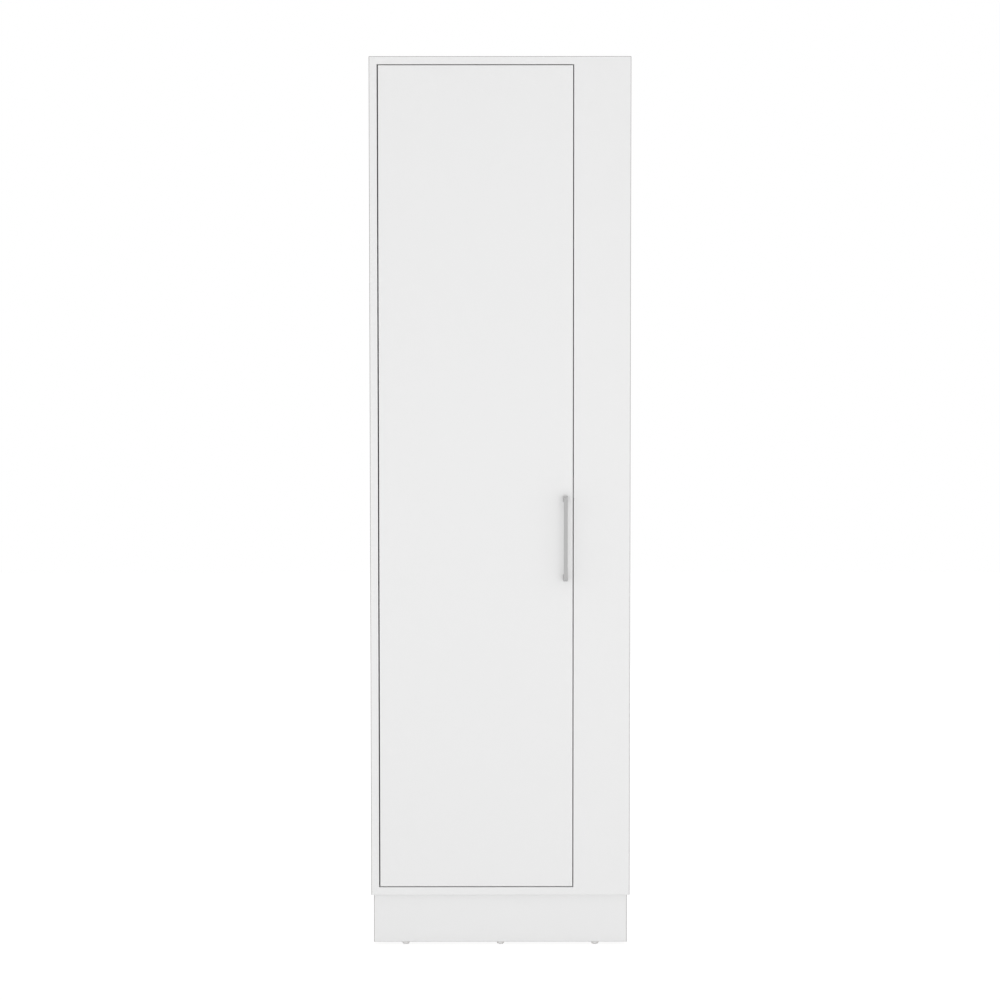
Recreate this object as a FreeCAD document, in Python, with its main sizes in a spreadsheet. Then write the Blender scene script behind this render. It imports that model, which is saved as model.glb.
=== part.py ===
import FreeCAD, Part
import os
import re

import Sketcher

# A tall broom cupboard of 16 mm melamine board, in millimetres.
# Right is +X, the front of the cupboard looks towards -Y, and up is +Z. The origin is on the floor,
# midway across the width and midway between the handle and the back.

SIZES = {
    # The whole cupboard
    "cupboard_width": 528,
    "carcass_height": 1702,
    "carcass_depth": 350,
    "board": 16,  # thickness of every melamine board
    "back_board": 3,  # thickness of the fibreboard back
    "back_inset": 1,  # the back stays this far inside the outline
    "edge_rounding": 1,  # radius of the edge band on the front edges
    # Door and the fixed panel beside it
    "hinge_gap": 2.4,  # beside the door's hinged edge
    "door_gap": 1.8,  # along the door's other edges
    "front_panel_width": 115,
    # Plinth, and the glides that it stands on
    "plinth_height": 99,
    "plinth_front_recess": 10,
    "plinth_side_recess": 5,
    "plinth_back_recess": 20,
    "glide_height": 6,
    "glide_diameter": 15,
    "glide_rounding": 4.5,
    "glide_stem_diameter": 6,
    "glide_stem_length": 12,
    "glide_end_distance": 65,  # from the end of the plinth to the outer glides
    # Inside
    "shelf_setback": 12,  # from the back of the door to the shelves and the divider
    "broom_bay_width": 220,
    "upper_space_height": 348,
    "inner_shelf_count": 3,
    "shelf_end_play": 0.5,
    "side_shelf_count": 4,
    # Concealed hinges, measured from the hinge side's inner face and from the front face
    "hinge_count": 4,
    "hinge_end_distance": 100,  # from the ends of the door to the outer hinges
    "pin_inset": 17,
    "pin_depth": 8.8,
    "pin_diameter": 3,
    "pin_length": 24,
    "pin_play": 0.05,  # running clearance, on the radius
    "pin_fit": 0.02,  # clearance of the pin in the cup, on the radius
    "barrel_diameter": 6.8,
    "arm_height": 10,
    "arm_thickness": 2,
    "arm_play": 0.3,  # beside the arm, in the cup
    "arm_lift": 7,  # from the side panel to the arm
    "neck_reach": 31,  # from the side panel to the far side of the neck
    "neck_depth": 26,  # from the front face to the cross bar behind the door
    "arm_bend_radius": 1,  # inside radius of the bends in the arm
    "channel_wall": 1.5,
    "channel_front": 34,
    "arm_end_depth": 76,
    "cup_diameter": 35,
    "cup_depth": 12,
    "cup_edge_distance": 22.5,  # from the door's edge to the middle of the cup
    "cup_fit": 0.1,
    "cup_floor": 1,
    "cup_rim": 1.1,
    "cup_recess_depth": 3,
    "slot_half_length": 14,
    "flange_thickness": 1.5,
    "flange_diameter": 38,
    "flange_length": 58,
    "flange_width": 12,
    "cup_screw_offset": 9.5,
    "cup_screw_spacing": 45,
    "plate_play": 0.3,  # between the plate and the arm that grips it
    "plate_front_depth": 38,
    "plate_end_depth": 72,
    "wing_thickness": 2,
    "wing_length": 48,
    "wing_width": 14,
    "plate_screw_depth": 53,
    "plate_screw_spacing": 32,
    "arm_screw_depth": 63,
    # Handle
    "handle_height": 836.5,  # from the floor to the middle of the handle
    "handle_edge_distance": 15,
    "handle_spacing": 160,
    "handle_reach": 32,
    "bar_width": 7.7,
    "bar_thickness": 8,
    "bar_rounding": 1.5,
    "bend_radius": 7,
    "foot_width": 9.8,
    "foot_height": 12,
    # Magnet catch and its strike plate
    "catch_rise": 157,  # from the second loose shelf up to the middle of the catch
    "catch_width": 14,
    "catch_depth": 20,
    "catch_length": 28,
    "catch_ear_length": 46,
    "catch_ear_thickness": 3,
    "catch_screw_spacing": 37,
    "catch_gap": 0.4,
    "strike_width": 7.5,
    "strike_length": 40,
    "strike_thickness": 1.2,
    "strike_edge_distance": 1,
    "strike_peg_diameter": 3,
    "strike_peg_length": 6,
    # Rail with the broom clips
    "rail_height": 60,
    "rail_drop": 110,  # from the fixed shelf down to the rail
    "clip_spacing": 100,
    "clip_bore": 24,
    "clip_wall": 2.5,
    "clip_height": 20,
    "clip_mouth": 16,
    "clip_base_width": 22,
    "clip_base_thickness": 4,
    # Brackets that tie the top to a wall
    "bracket_end_distance": 100,
    "bracket_width": 30,
    "bracket_height": 30,
    "bracket_depth": 24,
    "bracket_thickness": 2,
    "bracket_screw_spacing": 18,
    "wall_hole_drop": 17,
    "wall_hole_diameter": 6,
    # Joints between boards
    "joint_end_distance": 50,  # from the front and back edges to the cam fittings
    "dowel_distance": 32,  # from a cam fitting to the dowel beside it
    "bay_dowel_count": 3,  # up each side of the side bay
    "rail_dowel_inset": 15,  # from the rail's edges
    "plinth_dowel_inset": 33,  # from the plinth's edges
    "cam_diameter": 15,
    "cam_height": 12,
    "cam_setback": 34,
    "cam_slot_length": 9,
    "cam_slot_width": 2,
    "cam_slot_depth": 2,
    "bolt_thread_diameter": 5,
    "bolt_thread_length": 10,
    "bolt_shaft_diameter": 6.6,
    "bolt_cam_gap": 0.3,
    "dowel_diameter": 8,
    "dowel_in_face": 10,
    "dowel_in_edge": 20,
    "drill_clearance": 0.1,  # on the radius of every drilled hole
    "drill_spare": 0.4,  # extra depth of every blind hole
    # Screws, nails and shelf pins
    "small_screw_diameter": 3.5,
    "small_screw_length": 12,
    "small_head_diameter": 7,
    "small_head_height": 1.5,
    "plate_screw_diameter": 6,
    "plate_screw_length": 12,
    "plate_head_diameter": 9,
    "plate_head_height": 1.6,
    "arm_screw_diameter": 4,
    "arm_screw_length": 6,
    "arm_head_diameter": 6.4,
    "arm_head_height": 1.5,
    "handle_screw_diameter": 4,
    "handle_screw_grip": 9,
    "handle_head_diameter": 8,
    "handle_head_height": 2.4,
    "nail_diameter": 1.6,
    "nail_length": 15,
    "nail_head_diameter": 4,
    "nail_head_height": 0.6,
    "nail_count_up": 6,
    "nail_count_across": 4,
    "seam_nail_count": 3,  # along each side of the seam between the two sheets of the back
    "seam_nail_distance": 4,
    "shelf_pin_diameter": 5,
    "shelf_pin_depth": 8,
    "shelf_peg_diameter": 6,
    "shelf_peg_length": 7,
    "shelf_pin_setback": 37,
    "shelf_hole_pitch": 32,
}

# Faces, edges and middles that several pieces share, worked out from the sizes.
PLACES = {
    "left_face": "-cupboard_width / 2",
    "right_face": "cupboard_width / 2",
    "front_face": "(handle_reach - carcass_depth) / 2",
    "rear_face": "front_face + carcass_depth",
    "back_front": "rear_face - back_board",
    "carcass_floor": "glide_height + plinth_height",
    "carcass_top": "carcass_floor + carcass_height",
    "bay_left": "left_face + board",
    "bay_floor": "carcass_floor + board",
    "bay_top": "carcass_top - board",
    "fixed_left": "right_face - front_panel_width",
    "side_bay_left": "fixed_left + board",
    "side_bay_rear": "back_front - board",
    "panel_rear": "front_face + board",
    "door_left": "bay_left + hinge_gap",
    "door_right": "fixed_left - door_gap",
    "door_floor": "bay_floor + door_gap",
    "door_top": "bay_top - door_gap",
    "inside_front": "panel_rear + shelf_setback",
    "divider_left": "bay_left + broom_bay_width",
    "divider_right": "divider_left + board",
    "fixed_shelf_top": "bay_top - upper_space_height",
    "fixed_shelf_floor": "fixed_shelf_top - board",
    "inner_room": "fixed_shelf_floor - bay_floor - inner_shelf_count * board",
    "inner_space": "inner_room / (inner_shelf_count + 1)",
    "side_space": "(bay_top - bay_floor - side_shelf_count * board) / (side_shelf_count + 1)",
    "plinth_left": "left_face + plinth_side_recess",
    "plinth_right": "right_face - plinth_side_recess",
    "plinth_front": "front_face + plinth_front_recess",
    "plinth_rear": "rear_face - plinth_back_recess",
    "pin_across": "bay_left + pin_inset",
    "pin_back": "front_face + pin_depth",
    "hinge_pitch": "(door_top - door_floor - 2 * hinge_end_distance) / (hinge_count - 1)",
    "cup_across": "door_left + cup_edge_distance",
    "cup_bottom": "panel_rear - cup_depth",
    "flange_rear": "panel_rear + flange_thickness",
    "slot_half_height": "arm_height / 2 + arm_play",
    "leg_front": "pin_back - arm_thickness / 2",
    "leg_rear": "pin_back + arm_thickness / 2",
    "neck_right": "bay_left + neck_reach",
    "neck_left": "neck_right - arm_thickness",
    "neck_front": "front_face + neck_depth",
    "neck_rear": "neck_front + arm_thickness",
    "arm_inner": "bay_left + arm_lift",
    "arm_outer": "arm_inner + arm_thickness",
    "arm_end": "front_face + arm_end_depth",
    "handle_across": "door_right - handle_edge_distance",
    "handle_front": "front_face - handle_reach",
    "handle_hollow": "handle_front + bar_thickness",
    "strike_rear": "panel_rear + strike_thickness",
    "strike_right": "door_right - strike_edge_distance",
    "catch_front": "strike_rear + catch_gap",
    "catch_height": "bay_floor + 2 * (inner_space + board) + catch_rise",
    "rail_top": "fixed_shelf_floor - rail_drop",
    "rail_front": "back_front - board",
    "clip_middle": "rail_front - clip_base_thickness - clip_bore / 2",
    "bracket_front": "back_front - bracket_depth",
    "joint_front": "panel_rear + joint_end_distance",
    "joint_rear": "back_front - joint_end_distance",
    "board_middle": "board / 2",
}

DIRECTIONS = {
    "right": FreeCAD.Vector(1, 0, 0),
    "left": FreeCAD.Vector(-1, 0, 0),
    "rear": FreeCAD.Vector(0, 1, 0),
    "front": FreeCAD.Vector(0, -1, 0),
    "up": FreeCAD.Vector(0, 0, 1),
    "down": FreeCAD.Vector(0, 0, -1),
}

doc = FreeCAD.newDocument("BroomCupboard")
sheet = doc.addObject("Spreadsheet::Sheet", "Sizes")
pieces = {}  # name: the object that holds the piece before it is drilled
drillings = {}  # name: the links to the drills that cut that piece
groups = {}  # name: the links to the fasteners of that group
masters = {}  # kind of fastener: its solid and its drill


def fill_sheet():
    """Write each size and each place in a row of its own, under its name."""
    rows = [(name, str(size)) for name, size in SIZES.items()]
    rows += [(name, "=" + formula) for name, formula in PLACES.items()]
    for row, (name, content) in enumerate(rows, start=1):
        sheet.set(f"A{row}", name)
        sheet.set(f"B{row}", content)
        sheet.setAlias(f"B{row}", name)
    doc.recompute()


def count(name):
    """How many of something the sheet asks for."""
    return int(round(sheet.get(name)))


def cells(formula):
    """The formula with each size named as a cell of the sheet."""
    return re.sub(r"[a-z][a-z_]+", r"Sizes.\g<0>", formula)


def bind(thing, **formulas):
    for name, formula in formulas.items():
        thing.setExpression(name, cells(formula))


def place(thing, at, towards="up", held_by="Placement"):
    """Turn a thing's own Z axis towards a direction, and bind its place."""
    turn = FreeCAD.Rotation(DIRECTIONS["up"], DIRECTIONS[towards])
    setattr(thing, held_by, FreeCAD.Placement(FreeCAD.Vector(), turn))
    for axis, formula in zip("xyz", at):
        thing.setExpression(f"{held_by}.Base.{axis}", cells(formula))


# Sketches and features of a body


def new_body(name):
    """A body that becomes the piece of that name."""
    body = doc.addObject("PartDesign::Body", name + "_body")
    pieces[name] = body
    drillings[name] = []
    return body


def sketch_on(body, role, offset):
    """A sketch on one of the body's origin planes, moved along the plane's normal."""
    plane = next(face for face in body.Origin.OriginFeatures if face.Role == role)
    sketch = body.newObject("Sketcher::SketchObject", body.Name + "_sketch")
    sketch.AttachmentSupport = [(plane, "")]
    sketch.MapMode = "FlatFace"
    sketch.setExpression("AttachmentOffset.Base.z", cells(offset))
    return sketch


def outline(sketch, corners):
    """A closed outline of straight lines, with both coordinates of each corner bound to the sheet."""
    rough = [FreeCAD.Vector(number, number * number, 0) for number in range(len(corners))]
    for start, end in zip(rough, rough[1:] + rough[:1]):
        sketch.addGeometry(Part.LineSegment(start, end), False)
    for line in range(len(corners)):
        following = (line + 1) % len(corners)
        sketch.addConstraint(Sketcher.Constraint("Coincident", line, 2, following, 1))
    for line, corner in enumerate(corners):
        for kind, formula, start in zip(("DistanceX", "DistanceY"), corner, rough[line]):
            number = sketch.addConstraint(Sketcher.Constraint(kind, -1, 1, line, 1, start))
            sketch.setExpression(f"Constraints[{number}]", cells(formula))


def pad(body, sketch, length):
    feature = body.newObject("PartDesign::Pad", body.Name + "_pad")
    feature.Profile = sketch
    bind(feature, Length=length)
    doc.recompute()
    return feature


def block(body, x, y, z, cut=False):
    """Add or cut a box between pairs of faces."""
    kind = "PartDesign::SubtractiveBox" if cut else "PartDesign::AdditiveBox"
    feature = body.newObject(kind, body.Name + "_block")
    place(feature, (x[0], y[0], z[0]))
    bind(feature, Length=f"({x[1]}) - ({x[0]})")
    bind(feature, Width=f"({y[1]}) - ({y[0]})")
    bind(feature, Height=f"({z[1]}) - ({z[0]})")
    doc.recompute()
    return feature


def drum(body, at, towards, diameter, length, cut=False):
    """Add or cut a cylinder that starts at a point and runs in a direction."""
    kind = "PartDesign::SubtractiveCylinder" if cut else "PartDesign::AdditiveCylinder"
    feature = body.newObject(kind, body.Name + "_drum")
    place(feature, at, towards)
    bind(feature, Radius=f"({diameter}) / 2", Height=length)
    doc.recompute()
    return feature


def round_named_edges(body, names, radius):
    rounded = body.Tip
    fillet = body.newObject("PartDesign::Fillet", body.Name + "_rounding")
    fillet.Base = (rounded, names)
    bind(fillet, Radius=radius)
    doc.recompute()


def round_edges(body, corners, radius):
    """Round the edges of a body that each lie along two of its outer sides."""
    box = body.Shape.BoundBox
    sides = {
        "left": ("x", box.XMin),
        "right": ("x", box.XMax),
        "front": ("y", box.YMin),
        "rear": ("y", box.YMax),
        "bottom": ("z", box.ZMin),
        "top": ("z", box.ZMax),
    }
    names = []
    for number, edge in enumerate(body.Shape.Edges, start=1):
        for corner in corners:
            along = [sides[side] for side in corner.split()]
            ends = [vertex.Point for vertex in edge.Vertexes]
            if all(abs(getattr(end, axis) - at) < 1e-6 for end in ends for axis, at in along):
                names.append(f"Edge{number}")
    round_named_edges(body, names, radius)


def round_uprights(body, corners, radius):
    """Round the upright edges of a body that stand at named places in the plan."""
    names = []
    for number, edge in enumerate(body.Shape.Edges, start=1):
        ends = [vertex.Point for vertex in edge.Vertexes]
        for across, back in corners:
            if all(abs(end.x - sheet.get(across)) < 1e-6 for end in ends):
                if all(abs(end.y - sheet.get(back)) < 1e-6 for end in ends):
                    names.append(f"Edge{number}")
    round_named_edges(body, names, radius)


def board(name, x, y, z, rounded=()):
    """A board between pairs of faces, padded up from its plan, with its banded edges rounded."""
    body = new_body(name)
    sketch = sketch_on(body, "XY_Plane", z[0])
    outline(sketch, [(x[0], y[0]), (x[1], y[0]), (x[1], y[1]), (x[0], y[1])])
    pad(body, sketch, f"({z[1]}) - ({z[0]})")
    if rounded:
        round_edges(body, rounded, "edge_rounding")
    return body


# Fasteners: each kind has one solid and one drill, which are linked wherever one is fitted


def turned(name, steps):
    """A solid of coaxial steps, each with its diameter and its two ends along Z."""
    drums = []
    for number, (diameter, low, high) in enumerate(steps, start=1):
        step = doc.addObject("Part::Cylinder", f"{name}_step_{number}")
        bind(step, Radius=f"({diameter}) / 2", Height=f"({high}) - ({low})")
        place(step, ("0", "0", low))
        drums.append(step)
    if len(drums) == 1:
        return drums[0]
    whole = doc.addObject("Part::MultiFuse", name)
    whole.Shapes = drums
    return whole


def drilled_step(diameter, low, high):
    """A step of a drill, which is wider than what it is drilled for."""
    return f"{diameter} + 2 * drill_clearance", low, high


def make_screw(kind, diameter, length, head_diameter, head_height):
    """A screw with a flat round head, seated at Z = 0."""
    shank = (diameter, f"-{length}", "0")
    head = (head_diameter, "0", head_height)
    drill = drilled_step(diameter, f"-{length} - drill_spare", "drill_spare")
    masters[kind] = turned(kind, [shank, head]), turned(kind + "_drill", [drill])


def make_cam():
    """A cam lock, flush with the board that it sits in, with a slot for the screwdriver."""
    plain = turned("cam_plain", [("cam_diameter", "-cam_height", "0")])
    slot = doc.addObject("Part::Box", "cam_slot")
    bind(slot, Length="cam_slot_length", Width="cam_slot_width", Height="cam_slot_depth")
    place(slot, ("-cam_slot_length / 2", "-cam_slot_width / 2", "-cam_slot_depth"))
    cam = doc.addObject("Part::Cut", "cam")
    cam.Base = plain
    cam.Tool = slot
    drill = drilled_step("cam_diameter", "-cam_height - drill_spare", "drill_spare")
    masters["cam"] = cam, turned("cam_drill", [drill])


def make_bolt():
    """A cam bolt: its thread goes down into a board's face, its shaft up to the cam."""
    reach = "cam_setback - cam_diameter / 2 - bolt_cam_gap"
    thread = ("bolt_thread_diameter", "-bolt_thread_length", "0")
    shaft = ("bolt_shaft_diameter", "0", reach)
    thread_drill = drilled_step("bolt_thread_diameter", "-bolt_thread_length - drill_spare", "0")
    shaft_drill = drilled_step("bolt_shaft_diameter", "0", "cam_setback - cam_diameter / 2")
    solid = turned("bolt", [thread, shaft])
    masters["bolt"] = solid, turned("bolt_drill", [thread_drill, shaft_drill])


def make_dowel():
    """A dowel: shallow in the face of one board, deep in the edge of the other."""
    dowel = ("dowel_diameter", "-dowel_in_face", "dowel_in_edge")
    drill = drilled_step("dowel_diameter", "-dowel_in_face - drill_spare", "dowel_in_edge + drill_spare")
    masters["dowel"] = turned("dowel", [dowel]), turned("dowel_drill", [drill])


def make_nail():
    """A nail with its head sunk flush in the back."""
    shank = ("nail_diameter", "-nail_length", "0")
    head = ("nail_head_diameter", "-nail_head_height", "0")
    shank_drill = drilled_step("nail_diameter", "-nail_length - drill_spare", "0")
    head_drill = drilled_step("nail_head_diameter", "-nail_head_height", "drill_spare")
    solid = turned("nail", [shank, head])
    masters["nail"] = solid, turned("nail_drill", [shank_drill, head_drill])


def make_shelf_pin():
    """A pin that plugs into a board and carries a shelf on its peg."""
    plug = ("shelf_pin_diameter", "-shelf_pin_depth", "0")
    peg = ("shelf_peg_diameter", "0", "shelf_peg_length")
    drill = drilled_step("shelf_pin_diameter", "-shelf_pin_depth - drill_spare", "drill_spare")
    masters["shelf_pin"] = turned("shelf_pin", [plug, peg]), turned("shelf_pin_drill", [drill])


def make_glide():
    """A floor glide: a round foot with a rounded lower edge, and a stem that is knocked in."""
    body = doc.addObject("PartDesign::Body", "glide")
    drum(body, ("0", "0", "-glide_height"), "up", "glide_diameter", "glide_height")
    rim = [f"Edge{n}" for n, edge in enumerate(body.Shape.Edges, 1) if edge.BoundBox.ZMax < -1e-6]
    round_named_edges(body, rim, "glide_rounding")
    drum(body, ("0", "0", "0"), "up", "glide_stem_diameter", "glide_stem_length")
    drill = drilled_step("glide_stem_diameter", "-drill_spare", "glide_stem_length + drill_spare")
    masters["glide"] = body, turned("glide_drill", [drill])


def make_pin():
    """A hinge pin, with the bore that it needs in the cup."""
    pin = ("pin_diameter", "-pin_length / 2", "pin_length / 2")
    bore = ("pin_diameter + 2 * pin_fit", "-pin_length / 2 - pin_fit", "pin_length / 2 + pin_fit")
    masters["pin"] = turned("pin", [pin]), turned("pin_drill", [bore])


def make_wall_hole():
    """The hole for a wall fixing, with no fastener of its own."""
    hole = ("wall_hole_diameter", "-bracket_thickness - drill_spare", "back_board + drill_spare")
    masters["wall_hole"] = None, turned("wall_hole_drill", [hole])


def make_masters():
    for kind in ("small", "plate", "arm"):
        make_screw(kind, f"{kind}_screw_diameter", f"{kind}_screw_length",
                   f"{kind}_head_diameter", f"{kind}_head_height")
    make_screw("handle", "handle_screw_diameter", "board + handle_screw_grip",
               "handle_head_diameter", "handle_head_height")
    make_cam()
    make_bolt()
    make_dowel()
    make_nail()
    make_shelf_pin()
    make_glide()
    make_pin()
    make_wall_hole()
    doc.recompute()


def link_to(master, at, towards):
    link = doc.addObject("App::Link", master.Name + "_link")
    link.LinkedObject = master
    link.LinkTransform = True
    place(link, at, towards, held_by="LinkPlacement")
    return link


def fit(kind, group, at, towards, through):
    """Fit a fastener that points in a direction, and drill the pieces that it goes through."""
    solid, drill = masters[kind]
    if solid:
        groups.setdefault(group, []).append(link_to(solid, at, towards))
    drilling = link_to(drill, at, towards)
    for name in through:
        drillings[name].append(drilling)


def fit_cam(at, into_edge, cam_faces, face_board, edge_board):
    """Join a board's edge to another's face: a bolt in the face, and a cam that pulls on it."""
    fit("bolt", "cam_bolts", at, into_edge, [face_board, edge_board])
    steps = DIRECTIONS[into_edge], DIRECTIONS[cam_faces]
    cam_at = [
        f"{formula} + {along:g} * cam_setback + {out:g} * board_middle"
        for formula, along, out in zip(at, *steps)
    ]
    fit("cam", "cam_locks", cam_at, cam_faces, [edge_board])


def fit_dowel(at, into_edge, face_board, edge_board):
    fit("dowel", "wood_dowels", at, into_edge, [face_board, edge_board])


# The carcass


def make_carcass_boards():
    across = ("left_face", "right_face")
    deep = ("front_face", "back_front")
    upright = ("bay_floor", "bay_top")
    board("bottom_panel", across, deep, ("carcass_floor", "bay_floor"),
          ["front bottom", "front left", "front right", "left bottom", "right bottom"])
    board("top_panel", across, deep, ("bay_top", "carcass_top"),
          ["front top", "front left", "front right", "left top", "right top"])
    board("left_side_panel", ("left_face", "bay_left"), deep, upright, ["front left", "front right"])
    board("partition_panel", ("fixed_left", "side_bay_left"), ("panel_rear", "back_front"), upright)
    board("right_front_panel", ("fixed_left", "right_face"), ("front_face", "panel_rear"), upright,
          ["front left", "front right"])
    board("side_bay_back_board", ("side_bay_left", "right_face"), ("side_bay_rear", "back_front"), upright)


def make_back():
    """The fibreboard back is in two sheets, which meet behind the fixed shelf."""
    across = ("left_face + back_inset", "right_face - back_inset")
    deep = ("back_front", "rear_face")
    meeting = "fixed_shelf_floor + board_middle"
    board("back_panel_lower", across, deep, ("carcass_floor + back_inset", meeting))
    board("back_panel_upper", across, deep, (meeting, "carcass_top - back_inset"))


def make_inner_boards():
    deep = ("inside_front", "back_front")
    board("fixed_shelf", ("bay_left", "fixed_left"), deep, ("fixed_shelf_floor", "fixed_shelf_top"))
    board("inner_divider", ("divider_left", "divider_right"), deep, ("bay_floor", "fixed_shelf_floor"))
    ends = ("divider_right + shelf_end_play", "fixed_left - shelf_end_play")
    for number in range(1, count("inner_shelf_count") + 1):
        board(f"inner_shelf_{number}", ends, deep, inner_shelf_heights(number))
    board("broom_rail", ("bay_left", "divider_left"), ("rail_front", "back_front"),
          ("rail_top - rail_height", "rail_top"))


def inner_shelf_heights(number):
    floor = f"bay_floor + {number} * inner_space + {number - 1} * board"
    return floor, f"{floor} + board"


def make_side_shelves():
    """The shelves of the side bay, which is open to the right."""
    for number in range(1, count("side_shelf_count") + 1):
        floor = f"bay_floor + {number} * side_space + {number - 1} * board"
        board(f"side_shelf_{number}", ("side_bay_left", "right_face"), ("panel_rear", "side_bay_rear"),
              (floor, f"{floor} + board"))


def make_plinth():
    upright = ("glide_height", "carcass_floor")
    across = ("plinth_left", "plinth_right")
    between = ("plinth_front + board", "plinth_rear - board")
    board("plinth_front", across, ("plinth_front", "plinth_front + board"), upright)
    board("plinth_back", across, ("plinth_rear - board", "plinth_rear"), upright)
    board("plinth_left_end", ("plinth_left", "plinth_left + board"), between, upright)
    board("plinth_right_end", ("plinth_right - board", "plinth_right"), between, upright)


def join_uprights():
    """Cam fittings and dowels between the upright boards and the top and bottom panels."""
    ends = (("bay_floor", "up", "bottom_panel"), ("bay_top", "down", "top_panel"))
    uprights = (
        ("left_side_panel", "left_face + board_middle"),
        ("partition_panel", "fixed_left + board_middle"),
    )
    for height, into_edge, face_board in ends:
        for name, middle in uprights:
            for back, dowel_back in (
                ("joint_front", "joint_front + dowel_distance"),
                ("joint_rear", "joint_rear - dowel_distance"),
            ):
                fit_cam((middle, back, height), into_edge, "right", face_board, name)
                fit_dowel((middle, dowel_back, height), into_edge, face_board, name)
        narrow_boards = (
            ("right_front_panel", "front_face + board_middle", "rear"),
            ("side_bay_back_board", "side_bay_rear + board_middle", "front"),
        )
        for name, back, cam_faces in narrow_boards:
            middle = "(side_bay_left + right_face) / 2"
            fit_cam((middle, back, height), into_edge, cam_faces, face_board, name)
            fit_dowel((f"{middle} + dowel_distance", back, height), into_edge, face_board, name)


def join_side_bay():
    """Dowels between the partition, the fixed front panel, and the side bay's back and shelves."""
    dowels = count("bay_dowel_count")
    for number in range(dowels):
        height = f"bay_floor + (bay_top - bay_floor) * {2 * number + 1} / {2 * dowels} + dowel_distance"
        fit_dowel(("fixed_left + board_middle", "panel_rear", height), "rear",
                  "right_front_panel", "partition_panel")
        fit_dowel(("side_bay_left", "side_bay_rear + board_middle", height), "right",
                  "partition_panel", "side_bay_back_board")
    for number in range(1, count("side_shelf_count") + 1):
        middle = f"bay_floor + {number} * side_space + {number} * board - board_middle"
        for back in ("joint_front + dowel_distance", "joint_rear - dowel_distance"):
            fit_dowel(("side_bay_left", back, middle), "right", "partition_panel", f"side_shelf_{number}")


def join_inner_boards():
    shelf_middle = "fixed_shelf_floor + board_middle"
    for back in ("joint_front", "joint_rear"):
        fit_cam(("bay_left", back, shelf_middle), "right", "down", "left_side_panel", "fixed_shelf")
        fit_cam(("fixed_left", back, shelf_middle), "left", "down", "partition_panel", "fixed_shelf")
        divider_middle = "divider_left + board_middle"
        fit_dowel((divider_middle, back, "bay_floor"), "up", "bottom_panel", "inner_divider")
        fit_dowel((divider_middle, back, "fixed_shelf_floor"), "down", "fixed_shelf", "inner_divider")
    rail_middle = "rail_front + board_middle"
    for height in ("rail_top - rail_dowel_inset", "rail_top - rail_height + rail_dowel_inset"):
        fit_dowel(("bay_left", rail_middle, height), "right", "left_side_panel", "broom_rail")
        fit_dowel(("divider_left", rail_middle, height), "left", "inner_divider", "broom_rail")


def join_plinth():
    ends = (
        ("plinth_left + board_middle", "plinth_left_end"),
        ("plinth_right - board_middle", "plinth_right_end"),
    )
    for across, name in ends:
        for height in ("glide_height + plinth_dowel_inset", "carcass_floor - plinth_dowel_inset"):
            fit_dowel((across, "plinth_front + board", height), "rear", "plinth_front", name)
            fit_dowel((across, "plinth_rear - board", height), "front", "plinth_back", name)
        inward = "dowel_distance" if name == "plinth_left_end" else "-dowel_distance"
        for back, rail in (
            ("plinth_front + board_middle", "plinth_front"),
            ("plinth_rear - board_middle", "plinth_back"),
        ):
            fit_dowel((f"{across} + {inward}", back, "carcass_floor"), "down", "bottom_panel", rail)


def fit_glides():
    across = ("plinth_left + glide_end_distance", "0", "plinth_right - glide_end_distance")
    backs = (
        ("plinth_front + board_middle", "plinth_front"),
        ("plinth_rear - board_middle", "plinth_back"),
    )
    for middle in across:
        for back, rail in backs:
            fit("glide", "floor_glides", (middle, back, "glide_height"), "up", [rail])


def fit_back_nails():
    """Nails round the edges of the back, into the rear edges of the boards."""
    ups = count("nail_count_up")
    low = "carcass_floor + board_middle"
    high = "carcass_top - board_middle"
    for number in range(ups):
        height = f"bay_floor + (bay_top - bay_floor) * {2 * number + 1} / {2 * ups}"
        sheets = ["back_panel_lower", "back_panel_upper"]
        for across, name in (
            ("left_face + board_middle", "left_side_panel"),
            ("fixed_left + board_middle", "partition_panel"),
            ("right_face - board_middle", "side_bay_back_board"),
        ):
            fit("nail", "back_nails", (across, "rear_face", height), "rear", sheets + [name])
    acrosses = count("nail_count_across")
    for number in range(acrosses):
        across = f"left_face + cupboard_width * {2 * number + 1} / {2 * acrosses}"
        fit("nail", "back_nails", (across, "rear_face", low), "rear", ["back_panel_lower", "bottom_panel"])
        fit("nail", "back_nails", (across, "rear_face", high), "rear", ["back_panel_upper", "top_panel"])
    meeting = "fixed_shelf_floor + board_middle"
    pairs = count("seam_nail_count")
    for number in range(pairs):
        across = f"bay_left + (fixed_left - bay_left) * {2 * number + 1} / {2 * pairs}"
        for height, sheet in (
            (f"{meeting} - seam_nail_distance", "back_panel_lower"),
            (f"{meeting} + seam_nail_distance", "back_panel_upper"),
        ):
            fit("nail", "back_nails", (across, "rear_face", height), "rear", [sheet, "fixed_shelf"])


def fit_shelf_pins():
    """Pins under the loose shelves, each in the middle one of three holes."""
    backs = ("inside_front + shelf_pin_setback", "back_front - shelf_pin_setback")
    sides = (("divider_right", "right", "inner_divider"), ("fixed_left", "left", "partition_panel"))
    for number in range(1, count("inner_shelf_count") + 1):
        height = f"{inner_shelf_heights(number)[0]} - shelf_peg_diameter / 2"
        for across, towards, name in sides:
            for back in backs:
                fit("shelf_pin", "shelf_pins", (across, back, height), towards, [name])
                for step in ("- shelf_hole_pitch", "+ shelf_hole_pitch"):
                    spare = link_to(masters["shelf_pin"][1], (across, back, f"{height} {step}"), towards)
                    drillings[name].append(spare)


# Hinges


def hinge_height(number):
    return f"(door_floor + hinge_end_distance + {number - 1} * hinge_pitch)"


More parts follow.
